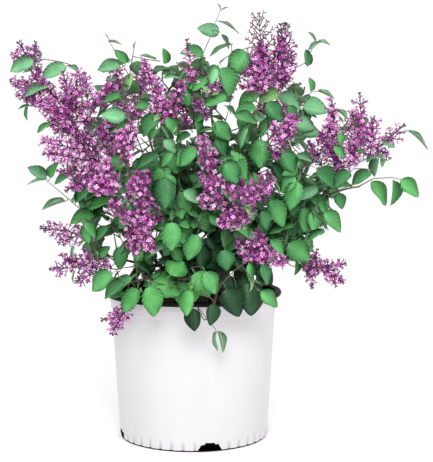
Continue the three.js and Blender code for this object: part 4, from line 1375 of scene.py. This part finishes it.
class StageSettings(bpy.types.PropertyGroup):
    floor: rgb("Floor", (0.96, 0.96, 0.96), "The floor that it stands on")
    backdrop: rgb("Backdrop", (1.0, 1.0, 1.0), "The light all round")
    backdrop_strength: number("Backdrop strength", 1.04, "Brightness of it", min=0)
    key_power: number("Key light", 42, "Power of the main lamp", min=0, unit="POWER")
    fill_power: number("Fill light", 9, "Power of the second lamp", min=0, unit="POWER")
    camera_height: metres("Camera height", VIEWER[2], "Height of the lens", high=10)
    camera_distance: metres("Camera distance", -VIEWER[1], "From the pot's axis to the lens", high=20)
    camera_side: metres("Camera side", VIEWER[0], "How far the lens is to the right", low=-2)
    camera_pitch: angle("Camera pitch", 5.667, "How far it looks down")
    lens: number("Lens", 102.28, "Focal length in millimetres", min=1)


# ---- pot and potting mix


FLUTE_SHARE = 0.42  # of the way from one flute to the next, that a flute takes
FOOT_GAP = 0.0022  # from the floor to the wall's lower edge, outside the foot that it stands on; the foot is painted black, painted shade where the pot meets the floor
FOOT_SOLE = 0.0008  # how much of the foot a drain leaves; it shows black in the drain, as painted shade
FOOT_INSET = 0.0012  # from the wall in to the foot


def wall_radius(pot, height):
    share = height / (pot.height - pot.lip_height)
    return pot.base_radius + (pot.neck_radius - pot.base_radius) * share


def pot_profile(pot, floor=0.0044):
    """The pot's section: from the middle of its underside out, up, over the lip and down to its floor."""
    neck = pot.height - pot.lip_height
    ledge, step = neck - pot.ledge_drop, neck - pot.step_drop

    def high(height, out=0.0, up=0.0):
        """A point on the wall above the nesting step, moved out and up."""
        return wall_radius(pot, height) + out, height + up

    def low(height, out=0.0, up=0.0):
        return high(height, out - pot.step, up)

    levels = [pot.flute_height * part for part in (0.0, 0.1, 0.35, 0.6, 0.8, 1.0, 1.15)]
    levels = [max(level, FOOT_GAP) for level in (*levels, 0.05, 0.1, 0.15, step - 0.004)]
    foot = low(0)[0] - FOOT_INSET
    outside = [(0.0, 0.0), (0.06, 0.0), (foot, 0.0), (foot, FOOT_GAP), *(low(level) for level in levels)]
    outside += [low(step - 0.001), low(step, 0.0003), high(step, -0.0002, 0.0012)]
    outside += [high(step + 0.002, 0, 0.0005), high(ledge, -0.0001, -0.001)]
    outside += [high(ledge, 0.0006), high(ledge, 0.0006, 0.001)]
    outside += [(pot.neck_radius, neck - 0.0015), (pot.neck_radius + 0.0005, neck)]
    roll = (pot.lip_radius - pot.neck_radius) / 2
    turns = [radians(turn) for turn in range(-75, 106, 15)]
    lip = [
        (pot.neck_radius + roll + roll * cos(turn), neck + pot.lip_height * (0.5 + 0.5 * sin(turn)))
        for turn in turns
    ]
    inner = pot.neck_radius - pot.wall
    hollow = -pot.wall - pot.flute_depth
    inside = [(inner + 0.002, pot.height - 0.0006), (inner, pot.height - 0.002), (inner, neck - 0.002)]
    inside += [low(0.16, -pot.wall), low(0.024, -pot.wall), low(0.02, hollow), low(floor, hollow, 0.004)]
    return [*outside, *lip, *inside, low(floor, -pot.wall - 0.005), (0.0, floor)], neck


def drain_cutter(pot, heading, reach=0.016):
    """The prism that cuts one arched drain through the foot of the wall and the edge of the floor."""
    half, top = pot.drain_width / 2, pot.drain_height
    side = [(1, FOOT_SOLE), (0.80, top * 0.5), (0.70, top * 0.78), (0.42, top * 0.82), (0.36, top)]
    side = [(half * part, height) for part, height in side]
    arch = [(-half, FOOT_SOLE), *side, *((-x, height) for x, height in side[:0:-1])]
    out, aside = direction(degrees(heading), 0), direction(degrees(heading) + 90, 0)
    depths = (pot.base_radius - reach, pot.base_radius + reach)
    points = [out * depth + aside * x + UP * z for depth in depths for x, z in arch]
    count = len(arch)
    ends = [tuple(range(count))[::-1], tuple(range(count, 2 * count))]
    return mesh_of("drain", points, ends + sleeve(0, count, turned=True))


class LILAC_OT_pot(bpy.types.Operator):
    """Build the white pot with its black lip, fluted foot and drains"""

    bl_idname = "lilac.pot"
    bl_label = "Pot"

    def execute(self, context):
        pot = context.scene.lilac_pot
        profile, neck = pot_profile(pot)

        def fluted(radius, height, turn):
            if height >= pot.flute_height or radius < pot.base_radius - pot.step - 0.0011:
                return radius, height
            part = turn * pot.flutes / TAU % 1
            hollow = max(0.0, sin(pi * min(1.0, part / FLUTE_SHARE))) ** 1.3
            return radius - pot.flute_depth * hollow * (1 - (height / pot.flute_height) ** 2), height

        # How far the flutes sink the wall, as a share: there the white plastic is greyed with painted shade.
        def recess_shade(tree):
            place = tree.add("ShaderNodeSeparateXYZ", {}, tree.place())
            x, y, z = (place.output(axis) for axis in "XYZ")
            slope = (pot.neck_radius - pot.base_radius) / (pot.height - pot.lip_height)
            sunk = z * slope + (pot.base_radius - pot.step) - (x * x + y * y).math("SQRT")
            return tree.step(sunk, 0.0002, pot.flute_depth * 0.9)

        body = new_object("pot_wall", revolved("pot_wall", profile, pot.flutes * 12, fluted))
        cutters = []
        for i in range(pot.drains):
            cutters.append(new_object("drain", drain_cutter(pot, pot.drain_turn + i * TAU / pot.drains)))
            cut = body.modifiers.new("drain", "BOOLEAN")
            cut.operation, cut.object, cut.solver = "DIFFERENCE", cutters[-1], "EXACT"
        mesh = plain_mesh(body, *cutters)
        mesh.materials.clear()
        mesh.materials.append(moulded_plastic("white_plastic", pot.body, 0.95, 0.36, 0.12, recess_shade=recess_shade))
        mesh.materials.append(moulded_plastic("black_lip", pot.lip, 1.8, 0.4, 0.0, 0.03))
        mesh.materials.append(moulded_plastic("pot_inside", pot.inside, 1.8, 0.6, 0.0, 0.02))
        for polygon in mesh.polygons:
            middle, normal = polygon.center, polygon.normal
            radius = hypot(middle.x, middle.y)
            outwards = (middle.x * normal.x + middle.y * normal.y) / radius if radius else 0
            inside = outwards <= (0.3 if middle.z < pot.drain_height else 0)
            depth = wall_radius(pot, middle.z) - pot.step - pot.flute_depth - radius
            if middle.z > neck - 0.0002:
                polygon.material_index = 1
            # The inside of the wall is black, as the real pot is; the underside, the foot and, below the
            # drains' top, faces turned down or side on take the same black as painted shade where the pot meets
            # the floor.
            elif inside or middle.z < FOOT_GAP + 0.0001 or depth > 0.0006:
                polygon.material_index = 2
        made = piece("pot_body", mesh, ["pot"])
        made.data.set_sharp_from_angle(angle=radians(32))
        return {"FINISHED"}


def chip_shape(seed):
    """A splinter of bark, broad and flat, with broken ends."""
    chance = Chance(seed)
    width, depth = chance.between(0.3, 0.55), chance.between(0.1, 0.2)
    points = []
    for end in (-0.5, -0.15, 0.2, 0.5):
        taper = 1 - abs(end) * chance.between(0.5, 1.2)
        for x, z in ((-1, -1), (1, -1), (1, 1), (-1, 1)):
            jitter = chance.between(-0.05, 0.05)
            points.append((x * width / 2 * taper + jitter, end + jitter, z * depth / 2 * taper))
    sides = [quad for low in (0, 4, 8) for quad in sleeve(low, 4, turned=True)]
    return mesh_of("chip", points, [(3, 2, 1, 0), (12, 13, 14, 15), *sides])


class LILAC_OT_potting_mix(bpy.types.Operator):
    """Build the bed of potting mix and strew bark chips on it"""

    bl_idname = "lilac.potting_mix"
    bl_label = "Potting mix"

    def execute(self, context):
        pot, mix = context.scene.lilac_pot, context.scene.lilac_mix
        top, edge = MIX_HIGH.z, MIX_HIGH.x

        def lumpy(radius, height, turn):
            if height < top - 0.02:
                return radius, height
            place = Vector((radius * cos(turn), radius * sin(turn), 0))
            lump = noise.noise(place * 60) * 0.6 + noise.noise(place * 150) * 0.4
            return radius, height - mix.roughness * (0.6 + 0.6 * lump)

        rings = [(edge * (1 - i / 16), top - 0.005 * (1 - i / 16)) for i in range(16)]
        low = wall_radius(pot, 0.02) - pot.step - pot.wall - pot.flute_depth - 0.0005
        profile = [(0, MIX_LOW.z), (low - 0.004, MIX_LOW.z), (low - 0.001, 0.012), (low, 0.02)]
        profile += [(edge, top - 0.021)]
        bed = revolved("potting_mix_bed", [*profile, *rings, (0, top - 0.004)], 96, lumpy)
        bed.materials.append(crumbly("moist_mix", mix.dark, shade(mix.light, 0.7), 140.0, 0.002))
        # Below its top the mix, seen only through the drains, is painted near black as painted shade.
        bed.materials.append(crumbly("wet_mix", shade(mix.dark, 0.1), shade(mix.dark, 0.4), 140.0, 0.002, 0.02))
        for polygon in bed.polygons:
            polygon.material_index = int(polygon.center.z < top - 0.022)
        piece("potting_mix_bed", bed, ["potting_mix"])
        open_faces = [tuple(polygon.vertices) for polygon in bed.polygons if polygon.center.z > top - 0.018]
        source = new_object("chips", mesh_of("chips", [vertex.co for vertex in bed.vertices], open_faces))
        shapes = [chip_shape(seed) for seed in (3, 5, 8, 13, 21)]
        sizes = {"Density": mix.chip_density, "Size": mix.chip_length, "Seed": mix.seed}
        bark = crumbly("bark_chips", mix.dark, mix.light, 90.0, 0.0008)
        chips = litter_tree().apply_to(source, shapes, Face=bark, **sizes)
        keep_within(chips, max(vertex.co.x for vertex in bed.vertices) - 0.0015)
        piece("bark_chips", chips, ["potting_mix"])
        return {"FINISHED"}


def keep_within(mesh, limit):
    """Draws in what lies further than the limit from the pot's axis."""
    for vertex in mesh.vertices:
        radius = hypot(vertex.co.x, vertex.co.y)
        if radius > limit:
            vertex.co.x *= limit / radius
            vertex.co.y *= limit / radius


# ---- limbs and twigs


class LILAC_OT_limbs(bpy.types.Operator):
    """Build the root crown, the canes and the boughs with their bark"""

    bl_idname = "lilac.limbs"
    bl_label = "Root crown, canes and boughs"

    def execute(self, context):
        plant = context.scene.lilac_plant
        bark = young_bark("cane_bark", plant.bark, 130.0)
        old_bark = young_bark("crown_bark", shade(plant.bark, 0.6), 80.0)
        lines = []
        for row in ROWS:
            limb, parent = LIMBS[row.name], LIMBS.get(row.parent)
            start = parent.at(row.root) if parent else limb.at(0) - limb.along(0) * 0.006
            swell = 1.25 if parent else 1.5
            line = line_of(limb, 24, tip=LIMB_TIP_DRAWN)
            flare = [(start, limb.root_radius * swell), (line[0][0], limb.root_radius * 1.12)]
            lines.append([*flare, *line[1:]])
        mesh = rods("canes_and_boughs", lines, 12, 0.0025, plant.bark_relief, 260.0, bark)
        piece("canes_and_boughs", mesh, LIMB_NODES)
        foot, top = CROWN_LOW.z, CROWN_HIGH.z
        profile = [(0, foot - 0.004), (CROWN_HIGH.x - 0.003, foot - 0.004)]
        for i in range(13):
            share = i / 12
            height = foot + (top - foot) * share
            flare = (CROWN_HIGH.x - CROWN_RADIUS) * max(0.0, 1 - share * 2.6) ** 2
            above = max(0.0, (height - CROWN_MIDDLE[2]) / (top - CROWN_MIDDLE[2]))
            body = CROWN_RADIUS * sqrt(max(0.0, 1 - above**2))
            profile.append((max(0.001, body + flare - 0.001), height - 0.001))
        profile.append((0, top - 0.001))

        def knotty(radius, height, turn):
            place = Vector((radius * cos(turn), radius * sin(turn), height))
            ridges = cos(turn * 7 + height * 60) * 0.0009
            return max(0.0005, radius - 0.001 + ridges + noise.noise(place * 160) * 0.0016), height

        crown = revolved("root_crown_bark", profile, 72, knotty)
        crown.materials.append(old_bark)
        piece("root_crown_bark", crown, ["root_crown"])
        return {"FINISHED"}


@functools.cache
def growth():
    """The plant on its limbs, grown once for all the pieces."""
    return Growth(bpy.context.scene.lilac_plant)


class LILAC_OT_twigs(bpy.types.Operator):
    """Build the stems, twigs and spurs that carry the leaves and blossom"""

    bl_idname = "lilac.twigs"
    bl_label = "Twigs"

    def execute(self, context):
        lines = []
        for shoot in itertools.chain(*growth().shoots.values()):
            ends = (LIMB_TIP_DRAWN, STEM_TIP_DRAWN) if shoot.root_radius == LIMB_TIP_RADIUS else (1.0, 1.0)
            lines.append(line_of(shoot, 8, shoot.used, *ends))
        bark = young_bark("twig_bark", context.scene.lilac_plant.twig, 300.0)
        piece("twigs", rods("twigs", lines, 6, 0.007, 0.0002, 400.0, bark), MASSES)
        return {"FINISHED"}


# ---- leaves

BLADE_STATIONS = [0.0, 0.05, 0.14, 0.27, 0.42, 0.57, 0.71, 0.83, 0.93, 1.0]
BLADE_COLUMNS = [-1.0, 0.0, 1.0]
LEAF_THICKNESS = 0.009  # of the blade's length
BLUISH_SHARE, BLUISH_ABOVE = 0.16, 0.42  # of the leaves, and how high they grow
BARE_TIPS = 0.93  # of the twigs, that end in no young leaves
CROWN_HEART, CROWN_REACH = np.array([0.03, 0.02, 0.40]), np.array([0.33, 0.25, 0.28])
LIGHT = unit(np.array([0.1, -0.6, 0.8]))
UNDERSIDE_GREY = (0.17, 0.26, 0.16)


def blade_half(share):
    """Half the breadth of a blade at a share of its length, 1 at the broadest."""
    return sin(pi * share**0.74) ** 0.66 * (1 - 0.25 * share**6)


def leaf_shape(breadth, fold, droop, wave, twist, stalk=LEAF_STALK):
    """A leaf one blade long: a stalk, and a blade folded along its midrib, arched, and closed underneath."""
    points, faces, coordinates, back = [], [], [], []
    stations, columns = BLADE_STATIONS[1:-1], len(BLADE_COLUMNS)
    layer_size = len(stations) * columns

    def surface(side, share):
        half = blade_half(share) * breadth / 2
        ripple = wave * sin(share * 9 + side * 2) * abs(side)
        lift = fold * abs(side) * half * 2 + ripple - droop * share**1.7
        return side * half + twist * share**2 * 0.2, stalk + share * (1 - 0.12 * droop), lift

    for thickness in (0.0, LEAF_THICKNESS):
        for share in stations:
            for side in BLADE_COLUMNS:
                x, y, z = surface(side, share)
                points.append((x, y, z - (thickness if abs(side) < 0.99 else 0)))
    base, tip = len(points), len(points) + 1
    points += [surface(0, 0), surface(0, 1)]

    def corner(under, row, column):
        """The index and the texture's place of a corner. The two layers share the margin and the ends."""
        if row in (-1, len(stations)):
            return (base, (0.5, 0)) if row < 0 else (tip, (0.5, 1))
        low = layer_size if under and 0 < column < columns - 1 else 0
        return low + row * columns + column, ((BLADE_COLUMNS[column] + 1) / 2, stations[row])

    def add(under, *places):
        """Adds a face. One underneath runs the other way round, from the same corner as its top."""
        corners, shares = zip(*(corner(under, *place) for place in places))
        faces.append((corners[0], *corners[:0:-1]) if under else corners)
        coordinates.append((shares[0], *shares[:0:-1]) if under else shares)
        back.append(under)

    last = len(stations) - 1
    for under in (False, True):
        for left in range(columns - 1):
            right = left + 1
            for row in range(last):
                add(under, (row, left), (row, right), (row + 1, right), (row + 1, left))
            add(under, (-1, left), (0, right), (0, left))
            add(under, (last, left), (last, right), (last + 1, left))
    low = len(points)
    for y, z, radius in ((0.0, 0.0, 0.016), (stalk * 0.55, 0.012, 0.012), (stalk + 0.06, -0.008, 0.009)):
        points += ring(y, z, radius, 3)
    tube = sleeve(low, 3) + sleeve(low + 3, 3)
    faces += [(*quad[1:], quad[0]) for quad in tube]
    coordinates += [[(0.5, 0.0)] * 4] * len(tube)
    mesh = mesh_of("leaf", points, faces, back=back + [True] * len(tube))
    layer = mesh.uv_layers.new(name="blade")
    layer.data.foreach_set("uv", [c for face in coordinates for corner in face for c in corner])
    return mesh


def leaf_shapes(breadth):
    """Grown leaves in six ways of lying, then two narrow young ones, then the six again with short stalks."""
    grown = [(0.90, 0.20, 0.20, 0.024, 0.3), (1.08, 0.10, 0.30, 0.030, -0.3), (0.98, 0.30, 0.14, 0.020, 0.2)]
    grown += [(1.0, 0.16, 0.10, 0.034, -0.5), (0.84, 0.24, 0.26, 0.026, 0.5), (1.12, 0.06, 0.18, 0.030, 0.0)]
    young = [leaf_shape(0.42, 0.5, 0.1, 0.01, 0.2), leaf_shape(0.5, 0.35, 0.2, 0.01, -0.3)]
    stalks = (LEAF_STALK, SHORT_STALK)
    long, short = ([leaf_shape(breadth * form[0], *form[1:], stalk) for form in grown] for stalk in stalks)
    return long + young + short


def exposure(leaf):
    """How much light reaches a leaf, from about 0 inside the crown to about 1 at its outside."""
    middle = leaf.root + leaf.way * leaf.blade * 0.7
    out = np.sqrt((((middle - CROWN_HEART) / CROWN_REACH) ** 2).sum())
    return float(out) * 0.75 + 0.2 * float(leaf.facing @ LIGHT)


def deal_leaves(plant):
    """Each leaf's tint, dealt out by how much light it gets."""
    chance = Chance(plant.seed + 5)
    dealt = {tint: [] for tint in TINTS}
    for leaf in growth().leaves.leaves:
        light = exposure(leaf) + (chance() - 0.5) * 0.34
        tint = SUNLIT if light > 0.95 else GREEN if light > 0.5 else SHADED
        if chance() < BLUISH_SHARE and leaf.root[2] > BLUISH_ABOVE:
            tint = BLUISH
        if within(leaf.root[None], SHADES)[0]:
            tint = DIM
        shape = int(chance() * 6) + (8 if leaf.stalk == SHORT_STALK else 0)
        dealt[leaf.tint or tint].append(Spot(leaf.root, leaf.way, leaf.facing, leaf.blade, shape, chance()))
    for shoot in itertools.chain(*growth().shoots.values()):
        tip, along = shoot.at(1), shoot.along(1)
        if shoot.used < 0.95 or shoot.tip_radius > TWIG_TIP_RADIUS + 1e-6 or chance() < BARE_TIPS:
            continue
        if within(tip[None], OPENINGS)[0] or not in_outline((tip + along * 0.02)[None])[0]:
            continue
        turn = chance() * pi
        for side in (0, pi):
            way = unit(along + sideways(along, turn + side) * 0.5)
            size = chance.between(0.010, 0.022)
            if inside_bounds((tip + way * size * 1.25)[None]):
                dealt[YOUNG].append(Spot(tip, way, square_to(along, way), size, 6 + int(chance() * 2), 0.5))
    return dealt


class LILAC_OT_leaves(bpy.types.Operator):
    """Build the leaves in their tints"""

    bl_idname = "lilac.leaves"
    bl_label = "Leaves"

    def execute(self, context):
        plant = context.scene.lilac_plant
        shapes = leaf_shapes(plant.leaf_breadth)
        for tint, spots in deal_leaves(plant).items():
            if not spots:
                continue
            colour = tuple(getattr(plant, tint))
            under = tuple(0.55 * c + 0.45 * grey for c, grey in zip(colour, UNDERSIDE_GREY))
            face = leaf_side(f"leaf_{tint}", colour, 1.7, 0.46, 0.0006)
            back = leaf_side(f"leaf_{tint}_back", under, 1.4, 0.62, 0.0004)
            piece(f"leaves_{tint}", scattered(f"leaves_{tint}", spots, shapes, face, back), MASSES)
        return {"FINISHED"}


# ---- panicles


PETALS = 4
PETAL_REACH = 0.46  # of the tube's length, as are the next
# Out, half breadth and height.
PETAL_OUTLINE = ((0.05, 0.07, 0.98), (0.28, 0.17, 1.06), (PETAL_REACH, 0.0, 1.04))
AXIS = ((0, 0.0011), (0.5, 0.0010), (0.97, 0.0008))  # of a panicle: shares of its length, and thickness there
KNOT_SPACING = 0.0055  # between tufts of florets along a branch
CLOSED_SIZE = 0.72  # of an open floret's


def floret_shape(opening, spin):
    """A floret one tube long: a slender tube and four petals, opening from 0, cupped, to 1, bent back."""
    points = ring(0.0, 0.0, 0.09, PETALS, spin) + ring(1.0, 0.0, 0.115, PETALS, spin)
    faces, back, paleness = sleeve(0, PETALS), [True] * PETALS, [0.0] * len(points)
    for k in range(PETALS):
        turn = spin + (k + 0.5) * TAU / PETALS
        out, side = (cos(turn), sin(turn)), (-sin(turn), cos(turn))
        low = len(points)
        for radius, half, lift in PETAL_OUTLINE:
            y = lift + (0.5 - opening) * radius * 0.9
            for sign in (-1, 1) if half else (0,):
                x, z = (out[i] * radius + side[i] * half * sign for i in range(2))
                points.append((x, y, z))
                paleness.append(radius / PETAL_REACH)
        faces += [(low, low + 1, low + 3, low + 2), (low + 2, low + 3, low + 4)]
        back += [False, False]
    mesh = mesh_of("floret", points, faces, back=back)
    mesh.attributes.new("paleness", "FLOAT", "POINT").data.foreach_set("value", paleness)
    return mesh


def bud_shape(swell):
    """A closed bud one tube long, clubbed at its end."""
    rings = ((0.0, 0.07), (0.4, 0.09), (0.72, 0.09 + swell), (0.92, 0.07 + swell * 0.6))
    points = [point for y, radius in rings for point in ring(y, 0, radius, 4)]
    faces = [quad for low in (0, 4, 8) for quad in sleeve(low, 4)]
    faces += [(12 + k, 16, 12 + (k + 1) % 4) for k in range(4)]
    return mesh_of("bud", [*points, (0, 1.0, 0)], faces, back=[False] * len(faces))


class Blossom:
    """The branches, florets and buds of all the panicles."""

    def __init__(self, plant):
        self.plant = plant
        self.chance = Chance(plant.seed + 11)
        self.lines = []
        self.dealt = {name: [] for name in ("deep", "bright", "pale", "buds")}
        for panicle in growth().panicles:
            self.fill(panicle)

    def fill(self, panicle):
        chance = self.chance
        mood = chance.between(-0.25, 0.25)
        open_to = chance.between(0.75, 1.05) * panicle.full  # of its length, where its florets stop being open
        self.lines.append([(panicle.point(share), radius) for share, radius in AXIS])
        levels = max(4, round(panicle.length * (0.35 + 0.65 * panicle.full) / self.plant.branch_spacing))
        turn = chance() * TAU
        for level in range(levels):
            share = 0.04 + 0.9 * level / levels
            reach = spread(share) * panicle.radius * PANICLE_FULLNESS - self.plant.floret_length * 0.8
            reach = max(0.002, reach)
            turn += pi / 2 + chance.between(-0.3, 0.3)
            for side in (0, pi):
                lean = radians(64 - 26 * share + chance.between(-8, 8))
                way = panicle.way * cos(lean) + sideways(panicle.way, turn + side) * sin(lean)
                start = panicle.point(share)
                end = start + way * reach * chance.between(0.75, 1.12)
                self.lines.append([(start, 0.0009), (end, 0.0008)])
                knots = max(0, round(norm(end - start) / KNOT_SPACING) - (1 if share < open_to else 2))
                for knot in range(knots):
                    place = start + (end - start) * (knot + 1) / (knots + 1)
                    self.tuft(place, way, share, open_to, mood, 2, 0.35)
                self.tuft(end, way, share, open_to, mood, 3)
        self.tuft(panicle.point(0.96), panicle.way, 0.96, open_to, mood, 5)

    def tuft(self, place, way, share, open_to, mood, count, forward=0.9):
        """So many florets or buds round a place. Most are closed past where the panicle stops being open."""
        chance = self.chance
        turn = chance() * TAU
        for i in range(count):
            closed = share + chance.between(-0.12, 0.12) > open_to or chance() < 0.08
            aside = sideways(way, turn + i * TAU / count + chance.between(-0.4, 0.4))
            out = unit(way * forward * (1.6 if closed else 1) + aside)
            tone = chance() + mood
            name = "buds" if closed else "deep" if tone < 0.3 else "bright" if tone < 0.8 else "pale"
            size = self.plant.floret_length * chance.between(0.75, 1.2) * (CLOSED_SIZE if closed else 1)
            facing = sideways(out, chance() * TAU)
            if inside_bounds((place + out * size * 1.1)[None]):
                self.dealt[name].append(Spot(place, out, facing, size, int(chance() * 3), chance()))


class LILAC_OT_panicles(bpy.types.Operator):
    """Build the panicles: their branches, florets and buds"""

    bl_idname = "lilac.panicles"
    bl_label = "Panicles"

    def execute(self, context):
        plant = context.scene.lilac_plant
        blossom = Blossom(plant)
        stalk = young_bark("panicle_stalk", plant.stalk, 500.0)
        mesh = rods("panicle_stalks", blossom.lines, 4, 0.012, 0.0, 1.0, stalk)
        piece("panicle_stalks", mesh, MASSES)
        florets = [floret_shape(0.4, 0.0), floret_shape(0.7, 0.3), floret_shape(0.1, 0.6)]
        buds = [bud_shape(swell) for swell in (0.06, 0.09, 0.12)]
        for name, spots in blossom.dealt.items():
            colour = tuple(getattr(plant, name))
            pale = tuple(c + (1 - c) * 0.22 for c in colour)
            face = petal(f"petal_{name}", shade(colour, 0.75), pale)
            tube = petal(f"tube_{name}", shade(colour, 0.45), shade(colour, 0.75))
            label, shapes = ("flower_buds", buds) if name == "buds" else (f"florets_{name}", florets)
            piece(label, scattered(label, spots, shapes, face, tube), MASSES)
        return {"FINISHED"}


# ---- stage

FLOOR_HALF = 12.0
AIM = (0.0, 0.0, 0.35)  # what the lamps point at
KEY_PLACE, KEY_SIZE = (0.05, -2.3, 1.4), 1.0
FILL_PLACE, FILL_SIZE = (1.2, -2.1, 1.2), 1.6


def stand(name, data, place):
    """An object that holds a lamp or the camera."""
    made = new_object(name, data)
    made.location = place
    return made


def area_light(name, place, size, power):
    data = bpy.data.lights.new(name, "AREA")
    data.shape, data.size, data.energy = "DISK", size, power
    aim = (Vector(AIM) - Vector(place)).to_track_quat("-Z", "Y")
    stand(name, data, place).rotation_euler = aim.to_euler()


class LILAC_OT_stage(bpy.types.Operator):
    """Set the floor, the lights and the camera"""

    bl_idname = "lilac.stage"
    bl_label = "Stage"

    def execute(self, context):
        stage, scene = context.scene.lilac_stage, context.scene
        corners = [(FLOOR_HALF * x, FLOOR_HALF * y, 0) for x, y in ((-1, -1), (1, -1), (1, 1), (-1, 1))]
        floor = new_object("floor", mesh_of("floor", corners, [(0, 1, 2, 3)]))
        surface = Surface("floor").finish(Base_Color=rgba(stage.floor), Roughness=0.9)
        floor.data.materials.append(surface)
        scene.world = bpy.data.worlds.new("studio")
        scene.world.use_nodes = True
        tree = Tree(scene.world.node_tree)
        light, strength = rgba(stage.backdrop), stage.backdrop_strength
        glow = tree.add("ShaderNodeBackground", {}, Color=light, Strength=strength)
        tree.add("ShaderNodeOutputWorld", {}, glow)
        area_light("key", KEY_PLACE, KEY_SIZE, stage.key_power)
        area_light("fill", FILL_PLACE, FILL_SIZE, stage.fill_power)
        data = bpy.data.cameras.new("camera")
        data.lens, data.sensor_width, data.sensor_fit = stage.lens, 36, "AUTO"
        scene.camera = stand("camera", data, (stage.camera_side, -stage.camera_distance, stage.camera_height))
        scene.camera.rotation_euler = (pi / 2 - stage.camera_pitch, 0, 0)
        scene.view_settings.view_transform = "Standard"
        return {"FINISHED"}


# ---- panel and registration

SETTINGS = {"lilac_pot": PotSettings, "lilac_mix": MixSettings}
SETTINGS |= {"lilac_plant": PlantSettings, "lilac_stage": StageSettings}
OPERATORS = [LILAC_OT_pot, LILAC_OT_potting_mix, LILAC_OT_limbs, LILAC_OT_twigs, LILAC_OT_leaves]
OPERATORS += [LILAC_OT_panicles, LILAC_OT_stage]


class LILAC_PT_panel(bpy.types.Panel):
    """The settings of each group of pieces, and the buttons that build them"""

    bl_idname = "LILAC_PT_panel"
    bl_label = "Lilac in its pot"
    bl_space_type = "VIEW_3D"
    bl_region_type = "UI"
    bl_category = "Lilac"

    def draw(self, context):
        for name, group in SETTINGS.items():
            box = self.layout.box()
            box.label(text=group.__name__.replace("Settings", ""))
            for setting in group.__annotations__:
                box.prop(getattr(context.scene, name), setting)
        for operator in OPERATORS:
            self.layout.operator(operator.bl_idname)


CLASSES = [*SETTINGS.values(), *OPERATORS, LILAC_PT_panel]


def register():
    for cls in CLASSES:
        bpy.utils.register_class(cls)
    for name, group in SETTINGS.items():
        setattr(bpy.types.Scene, name, PointerProperty(type=group))


def unregister():
    for name in SETTINGS:
        delattr(bpy.types.Scene, name)
    for cls in reversed(CLASSES):
        bpy.utils.unregister_class(cls)


def main():
    register()
    for build in ("pot", "potting_mix", "limbs", "twigs", "leaves", "panicles", "stage"):
        getattr(bpy.ops.lilac, build)()


if __name__ == "__main__":
    main()
